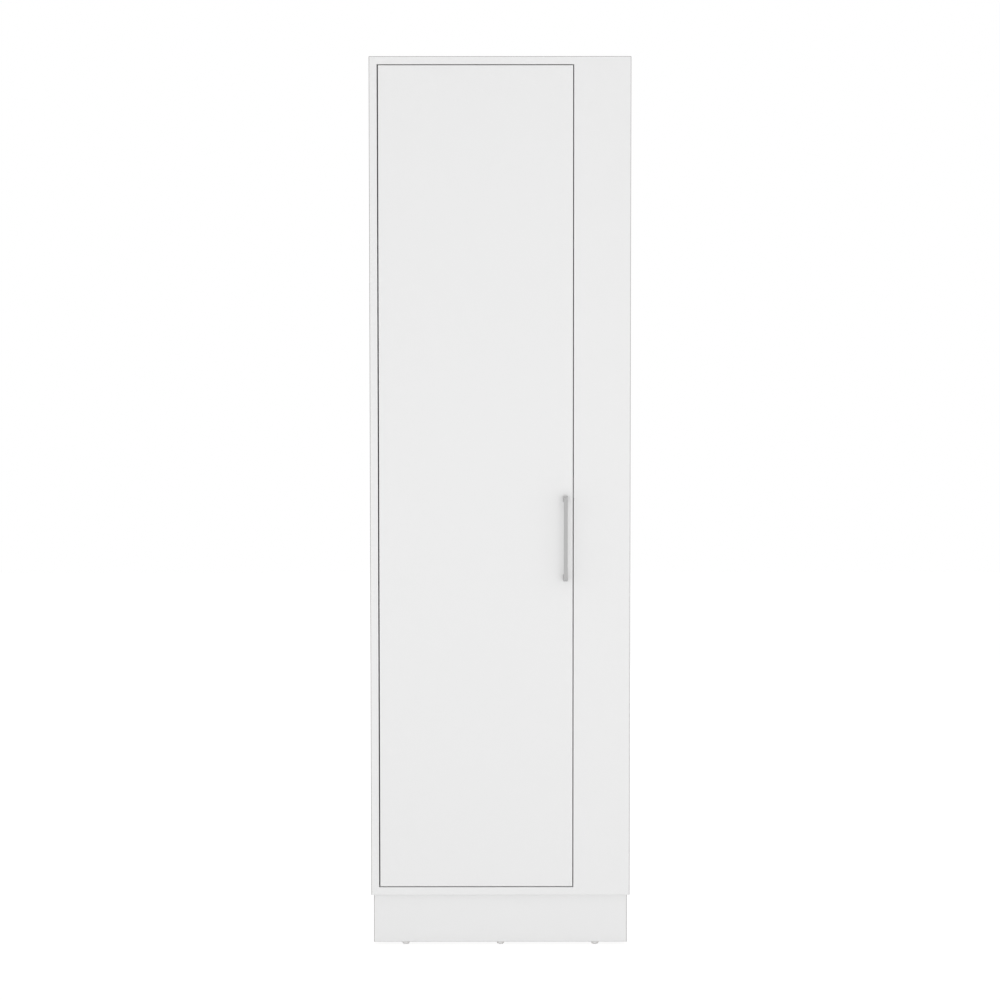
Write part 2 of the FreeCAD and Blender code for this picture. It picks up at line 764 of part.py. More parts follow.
def make_hinge_arm(number):
    """A cranked arm: a barrel round the pin, a neck that clears the door, and a channel on the plate."""
    height = hinge_height(number)
    body = new_body(f"hinge_arm_{number}")
    sketch = sketch_on(body, "XY_Plane", f"{height} - arm_height / 2")
    outline(sketch, [
        ("pin_across", "leg_front"),
        ("neck_right", "leg_front"),
        ("neck_right", "neck_rear"),
        ("arm_outer", "neck_rear"),
        ("arm_outer", "arm_end"),
        ("arm_inner", "arm_end"),
        ("arm_inner", "neck_front"),
        ("neck_left", "neck_front"),
        ("neck_left", "leg_rear"),
        ("pin_across", "leg_rear"),
    ])
    pad(body, sketch, "arm_height")
    outside = (("neck_right", "leg_front"), ("neck_right", "neck_rear"), ("arm_inner", "neck_front"))
    round_uprights(body, outside, "arm_bend_radius + arm_thickness")
    inside = (("neck_left", "leg_rear"), ("neck_left", "neck_front"), ("arm_outer", "neck_rear"))
    round_uprights(body, inside, "arm_bend_radius")
    foot = ("pin_across", "pin_back", f"{height} - arm_height / 2")
    drum(body, foot, "up", "barrel_diameter", "arm_height")
    drum(body, foot, "up", "pin_diameter + 2 * pin_play", "arm_height", cut=True)
    walls = ("bay_left + wing_thickness + plate_play", "arm_outer")
    along = ("front_face + channel_front", "arm_end")
    block(body, walls, along, (f"{height} + arm_height / 2", f"{height} + arm_height / 2 + channel_wall"))
    block(body, walls, along, (f"{height} - arm_height / 2 - channel_wall", f"{height} - arm_height / 2"))


def make_hinge_plate(number):
    """A mounting plate: a block that the arm's channel grips, and two wings for the screws."""
    height = hinge_height(number)
    body = new_body(f"hinge_plate_{number}")
    half = "(arm_height / 2 - plate_play)"
    block(body, ("bay_left", "arm_inner - plate_play"),
          ("front_face + plate_front_depth", "front_face + plate_end_depth"),
          (f"{height} - {half}", f"{height} + {half}"))
    middle = "(front_face + plate_screw_depth)"
    block(body, ("bay_left", "bay_left + wing_thickness"),
          (f"{middle} - wing_width / 2", f"{middle} + wing_width / 2"),
          (f"{height} - wing_length / 2", f"{height} + wing_length / 2"))
    for side in ("-", "+"):
        at = ("bay_left + wing_thickness", middle, f"{height} {side} plate_screw_spacing / 2")
        fit("plate", "hinge_plate_screws", at, "right", [f"hinge_plate_{number}", "left_side_panel"])
    at = ("arm_outer", "front_face + arm_screw_depth", height)
    fit("arm", "hinge_arm_screws", at, "right", [f"hinge_arm_{number}", f"hinge_plate_{number}"])


def make_hinge_cup(number):
    """A cup in the door's rear face: a slot for the arm, and lugs above and below it for the pin."""
    height = hinge_height(number)
    name = f"hinge_cup_{number}"
    body = new_body(name)
    middle = ("cup_across", "cup_bottom", height)
    rim = ("cup_across", "panel_rear", height)
    drum(body, middle, "rear", "cup_diameter - 2 * cup_fit", "cup_depth")
    drum(body, rim, "rear", "flange_diameter", "flange_thickness")
    screws = "(cup_across + cup_screw_offset)"
    block(body, (f"{screws} - flange_width / 2", f"{screws} + flange_width / 2"),
          ("panel_rear", "flange_rear"),
          (f"{height} - flange_length / 2", f"{height} + flange_length / 2"))
    recess = ("cup_across", "panel_rear - cup_recess_depth", height)
    recess_width = "cup_diameter - 2 * cup_rim"
    drum(body, recess, "rear", recess_width, "cup_recess_depth + flange_thickness", cut=True)
    block(body, ("cup_across - slot_half_length", "cup_across + slot_half_length"),
          ("cup_bottom + cup_floor", "flange_rear"),
          (f"{height} - slot_half_height", f"{height} + slot_half_height"), cut=True)
    fit("pin", "hinge_pins", ("pin_across", "pin_back", height), "up", [name])
    for side in ("-", "+"):
        at = (screws, "flange_rear", f"{height} {side} cup_screw_spacing / 2")
        fit("small", "hinge_cup_screws", at, "rear", [name, "door_panel"])


def make_hinges():
    for number in range(1, count("hinge_count") + 1):
        make_hinge_arm(number)
        make_hinge_plate(number)
        make_hinge_cup(number)


# The door


def make_door():
    front_edges = ["front left", "front right", "front bottom", "front top"]
    body = board("door_panel", ("door_left", "door_right"), ("front_face", "panel_rear"),
                 ("door_floor", "door_top"), front_edges)
    for number in range(1, count("hinge_count") + 1):
        drum(body, ("cup_across", "cup_bottom", hinge_height(number)), "rear",
             "cup_diameter", "cup_depth", cut=True)


def make_handle():
    """A bow handle: a bar bent down to two feet, which flare where they meet the door."""
    body = new_body("handle")
    top_foot = "(handle_height + handle_spacing / 2)"
    low_foot = "(handle_height - handle_spacing / 2)"
    ends = (f"{low_foot} - foot_height / 2", f"{top_foot} + foot_height / 2")
    hollow = (f"{low_foot} + foot_height / 2", f"{top_foot} - foot_height / 2")
    sketch = sketch_on(body, "YZ_Plane", "handle_across - bar_width / 2")
    outline(sketch, [
        ("front_face", ends[0]),
        ("handle_front", ends[0]),
        ("handle_front", ends[1]),
        ("front_face", ends[1]),
        ("front_face", hollow[1]),
        ("handle_hollow", hollow[1]),
        ("handle_hollow", hollow[0]),
        ("front_face", hollow[0]),
    ])
    pad(body, sketch, "bar_width")
    round_edges(body, ["front bottom", "front top"], "bend_radius")
    round_edges(body, ["front left", "front right"], "bar_rounding")
    for foot in (low_foot, top_foot):
        flare = body.newObject("PartDesign::AdditiveWedge", "foot_flare")
        place(flare, ("handle_across", "front_face", f"{foot}"))
        flare.Ymax = 0
        bind(flare, Ymin="handle_hollow - front_face")
        bind(flare, Xmin="-bar_width / 2", Xmax="bar_width / 2")
        bind(flare, X2min="-foot_width / 2", X2max="foot_width / 2")
        bind(flare, Zmin="-foot_height / 2", Zmax="foot_height / 2")
        bind(flare, Z2min="-foot_height / 2", Z2max="foot_height / 2")
        doc.recompute()
        fit("handle", "handle_screws", ("handle_across", "panel_rear", foot), "rear",
            ["door_panel", "handle"])


def make_catch():
    """A magnet catch on the partition, and the strike plate that it holds."""
    catch = new_body("magnet_catch")
    block(catch, ("fixed_left - catch_width", "fixed_left"), ("catch_front", "catch_front + catch_depth"),
          ("catch_height - catch_length / 2", "catch_height + catch_length / 2"))
    block(catch, ("fixed_left - catch_ear_thickness", "fixed_left"),
          ("catch_front", "catch_front + catch_depth"),
          ("catch_height - catch_ear_length / 2", "catch_height + catch_ear_length / 2"))
    for side in ("-", "+"):
        at = ("fixed_left - catch_ear_thickness", "catch_front + catch_depth / 2",
              f"catch_height {side} catch_screw_spacing / 2")
        fit("small", "catch_screws", at, "left", ["magnet_catch", "partition_panel"])
    strike = new_body("strike_plate")
    block(strike, ("strike_right - strike_width", "strike_right"), ("panel_rear", "strike_rear"),
          ("catch_height - strike_length / 2", "catch_height + strike_length / 2"))
    peg = ("strike_right - strike_width / 2", "panel_rear", "catch_height")
    drum(strike, peg, "front", "strike_peg_diameter", "strike_peg_length")
    peg_drill = drilled_step("strike_peg_diameter", "0", "strike_peg_length + drill_spare")
    socket = turned("strike_socket", [peg_drill])
    drillings["door_panel"].append(link_to(socket, peg, "front"))


# Fittings inside


def make_broom_clips():
    """Spring clips for broom handles, open to the front, on the rail."""
    middle_height = "(rail_top - rail_height / 2)"
    upright = (f"{middle_height} - clip_height / 2", f"{middle_height} + clip_height / 2")
    for number, side in ((1, "-"), (2, "+")):
        across = f"(bay_left + broom_bay_width / 2 {side} clip_spacing / 2)"
        name = f"broom_clip_{number}"
        body = new_body(name)
        foot = (across, "clip_middle", upright[0])
        drum(body, foot, "up", "clip_bore + 2 * clip_wall", "clip_height")
        block(body, (f"{across} - clip_base_width / 2", f"{across} + clip_base_width / 2"),
              ("rail_front - clip_base_thickness", "rail_front"), upright)
        drum(body, foot, "up", "clip_bore", "clip_height", cut=True)
        block(body, (f"{across} - clip_mouth / 2", f"{across} + clip_mouth / 2"),
              ("clip_middle - clip_bore", "clip_middle"), upright, cut=True)
        at = (across, "rail_front - clip_base_thickness + small_head_height", middle_height)
        fit("small", "broom_clip_screws", at, "front", [name, "broom_rail"])
        head = turned(f"clip_counterbore_{number}", [drilled_step("small_head_diameter", "0", "clip_wall")])
        drillings[name].append(link_to(head, at, "front"))


def make_wall_brackets():
    ends = (
        ("left", "(bay_left + bracket_end_distance)"),
        ("right", "(fixed_left - bracket_end_distance)"),
    )
    for side, middle in ends:
        name = f"wall_bracket_{side}"
        body = new_body(name)
        across = (f"{middle} - bracket_width / 2", f"{middle} + bracket_width / 2")
        block(body, across, ("back_front - bracket_thickness", "back_front"),
              ("bay_top - bracket_height", "bay_top"))
        block(body, across, ("bracket_front", "back_front"), ("bay_top - bracket_thickness", "bay_top"))
        flange_middle = "(bracket_front + back_front) / 2 - bracket_thickness"
        flange_floor = "bay_top - bracket_thickness"
        for step in ("-", "+"):
            at = (f"{middle} {step} bracket_screw_spacing / 2", flange_middle, flange_floor)
            fit("small", "wall_bracket_screws", at, "down", [name, "top_panel"])
        hole = (middle, "back_front", "bay_top - wall_hole_drop")
        fit("wall_hole", None, hole, "rear", [name, "back_panel_upper"])


# Finishing and writing


def drill_pieces():
    """Cut each piece's drillings from it in one go, and give the result the piece's name."""
    for name, piece in list(pieces.items()):
        if drillings[name]:
            drills = doc.addObject("Part::Compound", name + "_drills")
            drills.Links = drillings[name]
            drilled = doc.addObject("Part::Cut", name)
            drilled.Base = piece
            drilled.Tool = drills
            pieces[name] = drilled
    for name, links in groups.items():
        together = doc.addObject("Part::Compound", name)
        together.Links = links
        pieces[name] = together
    doc.recompute()
    for name, piece in pieces.items():
        piece.Label = name


def check_and_write():
    for thing in doc.Objects:
        for state in ("Invalid", "Error"):
            if state in thing.State:
                raise RuntimeError(f"{thing.Name} is {state}")
    for name, piece in pieces.items():
        if piece.Shape.isNull() or not piece.Shape.isValid() or not piece.Shape.Solids:
            raise RuntimeError(f"{name} has no sound shape")
    os.makedirs("parts", exist_ok=True)
    for name, piece in pieces.items():
        piece.Shape.exportStep(f"parts/{name}.step")
        print(f"{name}: {len(piece.Shape.Solids)} solid(s), {piece.Shape.Volume / 1000:.1f} cm3")


fill_sheet()
make_masters()
make_carcass_boards()
make_back()
make_inner_boards()
make_side_shelves()
make_plinth()
make_door()
make_hinges()
make_handle()
make_catch()
make_broom_clips()
make_wall_brackets()
join_uprights()
join_side_bay()
join_inner_boards()
join_plinth()
fit_glides()
fit_back_nails()
fit_shelf_pins()
drill_pieces()
check_and_write()
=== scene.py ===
import math

import bmesh
import bpy
from mathutils import Matrix, Vector


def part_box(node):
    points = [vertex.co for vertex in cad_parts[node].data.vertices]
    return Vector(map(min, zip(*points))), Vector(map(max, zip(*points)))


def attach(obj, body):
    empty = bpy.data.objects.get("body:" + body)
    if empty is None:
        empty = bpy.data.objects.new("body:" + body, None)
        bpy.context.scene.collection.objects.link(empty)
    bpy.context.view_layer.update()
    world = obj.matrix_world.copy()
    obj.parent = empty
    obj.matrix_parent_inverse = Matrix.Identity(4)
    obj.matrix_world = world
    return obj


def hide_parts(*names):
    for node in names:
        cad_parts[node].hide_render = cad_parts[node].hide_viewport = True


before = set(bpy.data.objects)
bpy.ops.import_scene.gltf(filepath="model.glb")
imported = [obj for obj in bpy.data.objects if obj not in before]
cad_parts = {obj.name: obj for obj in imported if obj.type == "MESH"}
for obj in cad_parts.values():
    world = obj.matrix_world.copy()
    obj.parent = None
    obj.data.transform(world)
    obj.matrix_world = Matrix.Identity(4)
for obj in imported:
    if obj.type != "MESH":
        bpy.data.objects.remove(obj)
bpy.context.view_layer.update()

# A broom cupboard of white melamine board. Every length is in metres. Right is +X, the front of the
# cupboard looks towards -Y, and up is +Z.

RIGHT = Vector((1, 0, 0))
LEFT = Vector((-1, 0, 0))
FRONT = Vector((0, -1, 0))
REAR = Vector((0, 1, 0))
DOWN = Vector((0, 0, -1))


# Nodes, for the finishes and for the geometry


class Tree:
    """A node tree, with short ways to add a node and to do sums with its sockets."""

    def __init__(self, tree):
        self.tree = tree

    def add(self, kind, settings=None, feeds=None):
        """Add a node, with its settings and what feeds its inputs: a value or another socket."""
        node = self.tree.nodes.new(kind)
        for name, value in (settings or {}).items():
            setattr(node, name, value)
        for name, value in (feeds or {}).items():
            self.feed(node.inputs[name], value)
        return node

    def feed(self, socket, value):
        """Link a socket, or several, to an input, or set the input's own value."""
        for one in value if isinstance(value, list) else [value]:
            if isinstance(one, bpy.types.NodeSocket):
                self.tree.links.new(one, socket)
            else:
                socket.default_value = one

    def sum(self, operation, first, second=0.0, third=0.0, clamped=False):
        """The result of one step of arithmetic on numbers."""
        settings = {"operation": operation, "use_clamp": clamped}
        node = self.add("ShaderNodeMath", settings, {0: first, 1: second, 2: third})
        return node.outputs[0]

    def vector_sum(self, operation, first, second=(0.0, 0.0, 0.0)):
        """The result of one step of arithmetic on vectors."""
        node = self.add("ShaderNodeVectorMath", {"operation": operation}, {0: first, 1: second})
        return node.outputs["Value" if operation == "LENGTH" else "Vector"]

    def split(self, vector):
        """The three numbers of a vector."""
        return self.add("ShaderNodeSeparateXYZ", feeds={0: vector}).outputs

    def join(self, x, y, z):
        """A vector of three numbers."""
        return self.add("ShaderNodeCombineXYZ", feeds={0: x, 1: y, 2: z}).outputs[0]

    def spread(self, value, low, high, to_low=0.0, to_high=1.0):
        """A number moved smoothly from one range to another, and kept inside it."""
        feeds = {"Value": value, "From Min": low, "From Max": high}
        feeds |= {"To Min": to_low, "To Max": to_high}
        node = self.add("ShaderNodeMapRange", {"interpolation_type": "SMOOTHSTEP"}, feeds)
        return node.outputs["Result"]

    def mixed(self, share, first, second):
        """A colour between two colours. The node has them at inputs 6 and 7, and at output 2."""
        feeds = {0: share, 6: first, 7: second}
        return self.add("ShaderNodeMix", {"data_type": "RGBA"}, feeds).outputs[2]

    def noise(self, vector, scale, detail=2.0, roughness=0.5):
        """Soft random greys, with finer and harsher ones mixed in."""
        feeds = {"Vector": vector, "Scale": scale, "Detail": detail, "Roughness": roughness}
        return self.add("ShaderNodeTexNoise", feeds=feeds).outputs[0]

    def grains(self, vector, scale):
        """Random greys in cells, as of chips pressed together."""
        node = self.add("ShaderNodeTexVoronoi", feeds={"Vector": vector, "Scale": scale})
        return node.outputs["Color"]

    def stretched(self, vector, stretch):
        """A place scaled along each axis, so that the pattern there grows longer or finer."""
        return self.vector_sum("MULTIPLY", vector, stretch)

    def blend(self, first, second, share):
        """Two patterns together: a share of the first, and the rest of the second."""
        rest = self.sum("MULTIPLY", second, 1.0 - share)
        return self.sum("MULTIPLY_ADD", first, share, rest)


class Finish(Tree):
    """A material: its principled shader, and the object's own coordinates and normal."""

    def __init__(self, name):
        self.material = bpy.data.materials.new(name)
        self.material.use_nodes = True
        super().__init__(self.material.node_tree)
        self.shader = self.tree.nodes["Principled BSDF"]
        coordinates = self.add("ShaderNodeTexCoord")
        self.at = coordinates.outputs["Object"]
        self.normal = coordinates.outputs["Normal"]

    def set(self, **feeds):
        """Set or feed the shader's inputs, by their names."""
        for name, value in feeds.items():
            self.feed(self.shader.inputs[name.replace("_", " ")], value)

    def faces(self, axis, side):
        """Where the surface faces along an axis, to its low or its high side."""
        outward = self.sum("MULTIPLY", self.split(self.normal)[axis], float(side))
        return self.spread(outward, low=0.7, high=0.8)

    def relief(self, height, depth, strength):
        """Raise and sink the surface a little where a pattern is light and dark."""
        feeds = {"Strength": strength, "Distance": depth, "Height": height}
        bump = self.add("ShaderNodeBump", feeds=feeds)
        self.feed(self.shader.inputs["Normal"], bump.outputs["Normal"])


DOME_POWER = 2.6  # a dome's rim falls away with this power of the distance from its middle


class Recipe(Tree):
    """A geometry tree that makes one fastener and sets it at every place that it is given."""

    def __init__(self, name):
        group = bpy.data.node_groups.new(name, "GeometryNodeTree")
        super().__init__(group)
        group.interface.new_socket("Places", in_out="INPUT", socket_type="NodeSocketGeometry")
        group.interface.new_socket("Fasteners", in_out="OUTPUT", socket_type="NodeSocketGeometry")
        self.given = group.nodes.new("NodeGroupInput")
        self.position = self.add("GeometryNodeInputPosition").outputs[0]

    def ask(self, name, kind="Float"):
        """A named input of the tree."""
        self.tree.interface.new_socket(name, in_out="INPUT", socket_type="NodeSocket" + kind)
        return self.given.outputs[name]

    def times(self, value, share):
        """A share, or a multiple, of a size."""
        return self.sum("MULTIPLY", value, share)

    def raised(self, mesh, height):
        """A mesh moved up along the fastener's axis."""
        offset = self.join(0.0, 0.0, height)
        node = self.add("GeometryNodeTransform", feeds={"Geometry": mesh, "Translation": offset})
        return node.outputs[0]

    def drum(self, width, low, high, sides=32, along=1, rings=1):
        """An upright cylinder between two heights, with rings along it and on its ends."""
        feeds = {"Vertices": sides, "Side Segments": along, "Fill Segments": rings}
        feeds |= {"Radius": self.times(width, 0.5), "Depth": self.sum("SUBTRACT", high, low)}
        mesh = self.add("GeometryNodeMeshCylinder", feeds=feeds).outputs["Mesh"]
        return self.raised(mesh, self.times(self.sum("ADD", low, high), 0.5))

    def bar(self, length, width, low, high):
        """An upright box, long along X."""
        size = self.join(length, width, self.sum("SUBTRACT", high, low))
        mesh = self.add("GeometryNodeMeshCube", feeds={"Size": size}).outputs["Mesh"]
        return self.raised(mesh, self.times(self.sum("ADD", low, high), 0.5))

    def distance_out(self):
        """How far a point of the mesh is from the fastener's axis."""
        place = self.split(self.position)
        return self.vector_sum("LENGTH", self.join(place[0], place[1], 0.0))

    def domed(self, mesh, width, above, sink):
        """Sink the rim of the end that lies above a height, so that the end is domed."""
        height = self.split(self.position)[2]
        share = self.sum("DIVIDE", self.distance_out(), self.times(width, 0.5))
        drop = self.sum("MULTIPLY", self.sum("POWER", share, DOME_POWER), sink)
        feeds = {"Geometry": mesh, "Selection": self.sum("GREATER_THAN", height, above)}
        feeds |= {"Offset": self.join(0.0, 0.0, self.times(drop, -1.0))}
        return self.add("GeometryNodeSetPosition", feeds=feeds).outputs[0]

    def rounded_off(self, mesh, width, height, radius):
        """Draw in a drum's side near its upper end, so that the edge there is rounded."""
        x, y, z = self.split(self.position)
        half = self.times(width, 0.5)
        start = self.sum("SUBTRACT", height, radius)
        into = self.sum("MAXIMUM", self.sum("SUBTRACT", z, start), 0.0)
        radius_squared, into_squared = self.sum("POWER", radius, 2.0), self.sum("POWER", into, 2.0)
        left_over = self.sum("SUBTRACT", radius_squared, into_squared)
        curve = self.sum("SQRT", self.sum("MAXIMUM", left_over, 0.0))
        rim = self.sum("ADD", self.sum("SUBTRACT", half, radius), curve)
        share = self.sum("DIVIDE", rim, half)
        place = self.join(self.sum("MULTIPLY", x, share), self.sum("MULTIPLY", y, share), z)
        feeds = {"Geometry": mesh, "Position": place}
        return self.add("GeometryNodeSetPosition", feeds=feeds).outputs[0]

    def cut(self, mesh, tools):
        """A mesh with the tools' shapes taken out of it."""
        feeds = {"Mesh 1": mesh, "Mesh 2": tools}
        settings = {"operation": "DIFFERENCE", "solver": "EXACT"}
        return self.add("GeometryNodeMeshBoolean", settings, feeds).outputs["Mesh"]

    def twist(self, seed):
        """A turn about the fastener's own axis, by chance, for each place."""
        feeds = {"Min": 0.0, "Max": math.tau, "Seed": seed}
        chance = self.add("FunctionNodeRandomValue", feeds=feeds).outputs["Value"]
        feeds = {"Axis": (0, 0, 1), "Angle": chance}
        return self.add("FunctionNodeAxisAngleToRotation", feeds=feeds).outputs[0]

    def turned_to_face(self, seed):
        """The way that each place faces, and then the fastener's own twist."""
        vectors = {"data_type": "FLOAT_VECTOR"}
        faces = self.add("GeometryNodeInputNamedAttribute", vectors, {"Name": "faces"}).outputs[0]
        facing = self.add("FunctionNodeAlignRotationToVector", {"axis": "Z"}, {"Vector": faces})
        feeds = {"Rotation": facing.outputs[0], "Rotate By": self.twist(seed)}
        turned = self.add("FunctionNodeRotateRotation", {"rotation_space": "LOCAL"}, feeds)
        return turned.outputs[0]

    def set_at_places(self, parts, seed):
        """Join the parts of one fastener, set it at every place, and give it its finish."""
        whole = self.add("GeometryNodeJoinGeometry", feeds={"Geometry": parts}).outputs[0]
        feeds = {"Points": self.given.outputs["Places"], "Instance": whole}
        feeds |= {"Rotation": self.turned_to_face(seed)}
        placed = self.add("GeometryNodeInstanceOnPoints", feeds=feeds).outputs[0]
        real = self.add("GeometryNodeRealizeInstances", feeds={"Geometry": placed}).outputs[0]
        feeds = {"Geometry": real, "Material": self.ask("Finish", "Material")}
        done = self.add("GeometryNodeSetMaterial", feeds=feeds).outputs[0]
        self.add("NodeGroupOutput", feeds={"Fasteners": done})
        return self.tree


def grey(level, tint=0.0):
    """A plain grey, a little warmer or cooler."""
    return (level * (1 + tint), level, level * (1 - tint), 1.0)


# Finishes

MELAMINE = 0.80
CLOUDING = 0.006  # how much the white varies, as a share of it
FILM_THIN, FILM_THICK = 0.00035, 0.00045  # how deep the melamine film reaches
# How rough the film is, and what its grain and bare chipboard add to that
FILM_ROUGHNESS, GRAIN_ROUGHNESS, BARE_ROUGHNESS = 0.40, 0.10, 0.40
CHIP_LIGHT = (0.52, 0.37, 0.22, 1.0)
CHIP_DARK = (0.21, 0.125, 0.06, 1.0)
FIBRE_LIGHT = (0.42, 0.275, 0.155, 1.0)
FIBRE_DARK = (0.235, 0.135, 0.068, 1.0)
# The dark brown of the painted shade along the fibreboard's sawn arrises
FIBRE_SEAM_SHADE = (0.06, 0.036, 0.02, 1.0)
BEECH_LIGHT = (0.66, 0.47, 0.30, 1.0)
BEECH_DARK = (0.47, 0.30, 0.17, 1.0)
# The painted shade along a board's arris, a dark line that stands in for the shading of its rounded
# edge: how far it is full, where it ends, and how dark it is
ARRIS_SHADE_FULL, ARRIS_SHADE_END = 0.0007, 0.0014
ARRIS_SHADE_SHARE, ARRIS_SHADE_FAINT, SEAM_SHADE_SHARE = 0.66, 0.25, 0.75
ARRIS_SHADE_GREY = 0.16
FAR = 10.0  # farther than any side of the cupboard
# The sides of a board: the axis, and which end of it
LEFT_SIDE, RIGHT_SIDE = (0, -1), (0, 1)
FRONT_SIDE, REAR_SIDE = (1, -1), (1, 1)
UNDERSIDE, TOP_SIDE = (2, -1), (2, 1)
ALL_SIDES = [LEFT_SIDE, RIGHT_SIDE, FRONT_SIDE, REAR_SIDE, UNDERSIDE, TOP_SIDE]


def chipboard_colour(finish):
    """Pressed wood chips, coarse and a little layered along the board."""
    chips = finish.grains(finish.stretched(finish.at, (1.0, 1.0, 0.55)), scale=620.0)
    flakes = finish.noise(finish.at, scale=900.0, detail=4.0, roughness=0.7)
    share = finish.blend(finish.split(chips)[0], flakes, 0.6)
    return finish.mixed(share, CHIP_LIGHT, CHIP_DARK)


def nearest_sides(finish, low, high, sides):
    """How far a point is from the nearest of a board's given sides, along each axis."""
    place = finish.split(finish.at)
    distances = [FAR, FAR, FAR]
    for axis, side in sides:
        if side < 0:
            away = finish.sum("SUBTRACT", place[axis], low[axis])
        else:
            away = finish.sum("SUBTRACT", high[axis], place[axis])
        distances[axis] = finish.sum("MINIMUM", distances[axis], away)
    return distances


def middle_one(finish, distances):
    """The second smallest of three distances, which is how far a point is from an arris."""
    first, second, third = distances
    smaller = finish.sum("MINIMUM", first, second)
    larger = finish.sum("MAXIMUM", first, second)
    return finish.sum("MAXIMUM", smaller, finish.sum("MINIMUM", larger, third))


def melamine(name, low, high, cut=(), shaded_arrises=(), faintly_shaded_arrises=()):
    """White melamine on one board, with its sawn faces, and a dark line of painted shade at its
    arrises.
    """
    finish = Finish("white_melamine_" + name)
    clouds = finish.noise(finish.at, scale=2.2)
    pale, white = grey(MELAMINE * (1 - CLOUDING)), grey(MELAMINE * (1 + CLOUDING))
    skin = finish.mixed(clouds, pale, white)
    # Painted shade: a dark line along each arris, faint on every given side and full on the sides
    # that show it
    for sides, share in (((*shaded_arrises, *faintly_shaded_arrises), ARRIS_SHADE_FAINT), (shaded_arrises, ARRIS_SHADE_SHARE)):
        arris = middle_one(finish, nearest_sides(finish, low, high, sides))
        line = finish.spread(arris, ARRIS_SHADE_FULL, ARRIS_SHADE_END, to_low=share, to_high=0.0)
        skin = finish.mixed(line, skin, grey(ARRIS_SHADE_GREY, tint=0.04))
    inside = nearest_sides(finish, low, high, ALL_SIDES)
    depth = finish.sum("MINIMUM", finish.sum("MINIMUM", inside[0], inside[1]), inside[2])
    bare = finish.spread(depth, FILM_THIN, FILM_THICK)
    for axis, side in cut:
        bare = finish.sum("MAXIMUM", bare, finish.faces(axis, side))
    finish.set(Base_Color=finish.mixed(bare, skin, chipboard_colour(finish)))
    grain = finish.noise(finish.at, scale=900.0, detail=3.0, roughness=0.6)
    film = finish.sum("MULTIPLY_ADD", grain, GRAIN_ROUGHNESS, FILM_ROUGHNESS)
    finish.set(Roughness=finish.sum("MULTIPLY_ADD", bare, BARE_ROUGHNESS, film))
    finish.set(IOR=1.5)
    finish.relief(grain, depth=0.00002, strength=0.35)
    return finish.material


def fibreboard(name, low, high):
    """Thin fibreboard: painted white inside, bare brown outside, with painted shade along its sawn
    arrises.
    """
    finish = Finish("fibreboard_" + name)
    long_fibres = finish.stretched(finish.at, (1.0, 1.0, 0.35))
    fibres = finish.noise(long_fibres, scale=700.0, detail=5.0, roughness=0.75)
    clouds = finish.noise(finish.at, scale=9.0, detail=3.0)
    brown = finish.mixed(finish.blend(fibres, clouds, 0.7), FIBRE_DARK, FIBRE_LIGHT)
    sawn_sides = [REAR_SIDE, UNDERSIDE, TOP_SIDE]
    # Painted shade: a dark line along the sawn arrises, which shows the seam between the two sheets
    sawn = middle_one(finish, nearest_sides(finish, low, high, sawn_sides))
    edge = finish.spread(sawn, ARRIS_SHADE_FULL, ARRIS_SHADE_END, to_low=SEAM_SHADE_SHARE, to_high=0.0)
    brown = finish.mixed(edge, brown, FIBRE_SEAM_SHADE)
    white = finish.mixed(clouds, grey(0.76), grey(0.79))
    painted = finish.faces(*FRONT_SIDE)
    finish.set(Base_Color=finish.mixed(painted, brown, white))
    finish.set(Roughness=finish.spread(painted, 0.0, 1.0, to_low=0.72, to_high=0.45))
    finish.relief(fibres, depth=0.00005, strength=0.4)
    return finish.material


def satin_nickel():
    """Brushed nickel: fine lines along the bar, and a few softer patches."""
    finish = Finish("satin_nickel")
    along = finish.stretched(finish.at, (9000.0, 9000.0, 60.0))
    lines = finish.noise(along, scale=1.0, detail=3.0, roughness=0.6)
    patches = finish.noise(finish.at, scale=60.0, detail=3.0)
    share = finish.blend(lines, patches, 0.6)
    dark, light = grey(0.457), grey(0.523)
    finish.set(Base_Color=finish.mixed(share, dark, light))
    finish.set(Metallic=0.85)
    finish.set(Roughness=finish.spread(lines, 0.2, 0.8, to_low=0.42, to_high=0.54))
    finish.relief(lines, depth=0.00001, strength=0.25)
    return finish.material


def plated_metal(name, level, tint, roughness, spangle):
    """Plated sheet steel or cast zinc: cloudy, with fine marks from rolling or from the mould."""
    finish = Finish(name)
    clouds = finish.noise(finish.at, scale=spangle, detail=4.0, roughness=0.6)
    marks = finish.noise(finish.at, scale=spangle * 14.0, detail=3.0, roughness=0.7)
    share = finish.blend(clouds, marks, 0.6)
    dark, light = grey(level * 0.86, tint), grey(level * 1.1, tint)
    smooth, rough = roughness * 0.8, roughness * 1.25
    finish.set(Base_Color=finish.mixed(share, dark, light))
    finish.set(Metallic=1.0)
    finish.set(Roughness=finish.spread(share, 0.25, 0.75, to_low=smooth, to_high=rough))
    finish.relief(marks, depth=0.00002, strength=0.25)
    return finish.material


def white_plastic():
    """Moulded plastic with the fine grain of its mould."""
    finish = Finish("white_plastic")
    grain = finish.noise(finish.at, scale=1500.0, detail=3.0, roughness=0.6)
    clouds = finish.noise(finish.at, scale=40.0)
    dark, light = grey(0.72, tint=0.004), grey(0.77, tint=0.002)
    finish.set(Base_Color=finish.mixed(clouds, dark, light))
    finish.set(Roughness=finish.spread(grain, 0.2, 0.8, to_low=0.36, to_high=0.5))
    finish.set(IOR=1.49)
    finish.relief(grain, depth=0.00003, strength=0.4)
    return finish.material


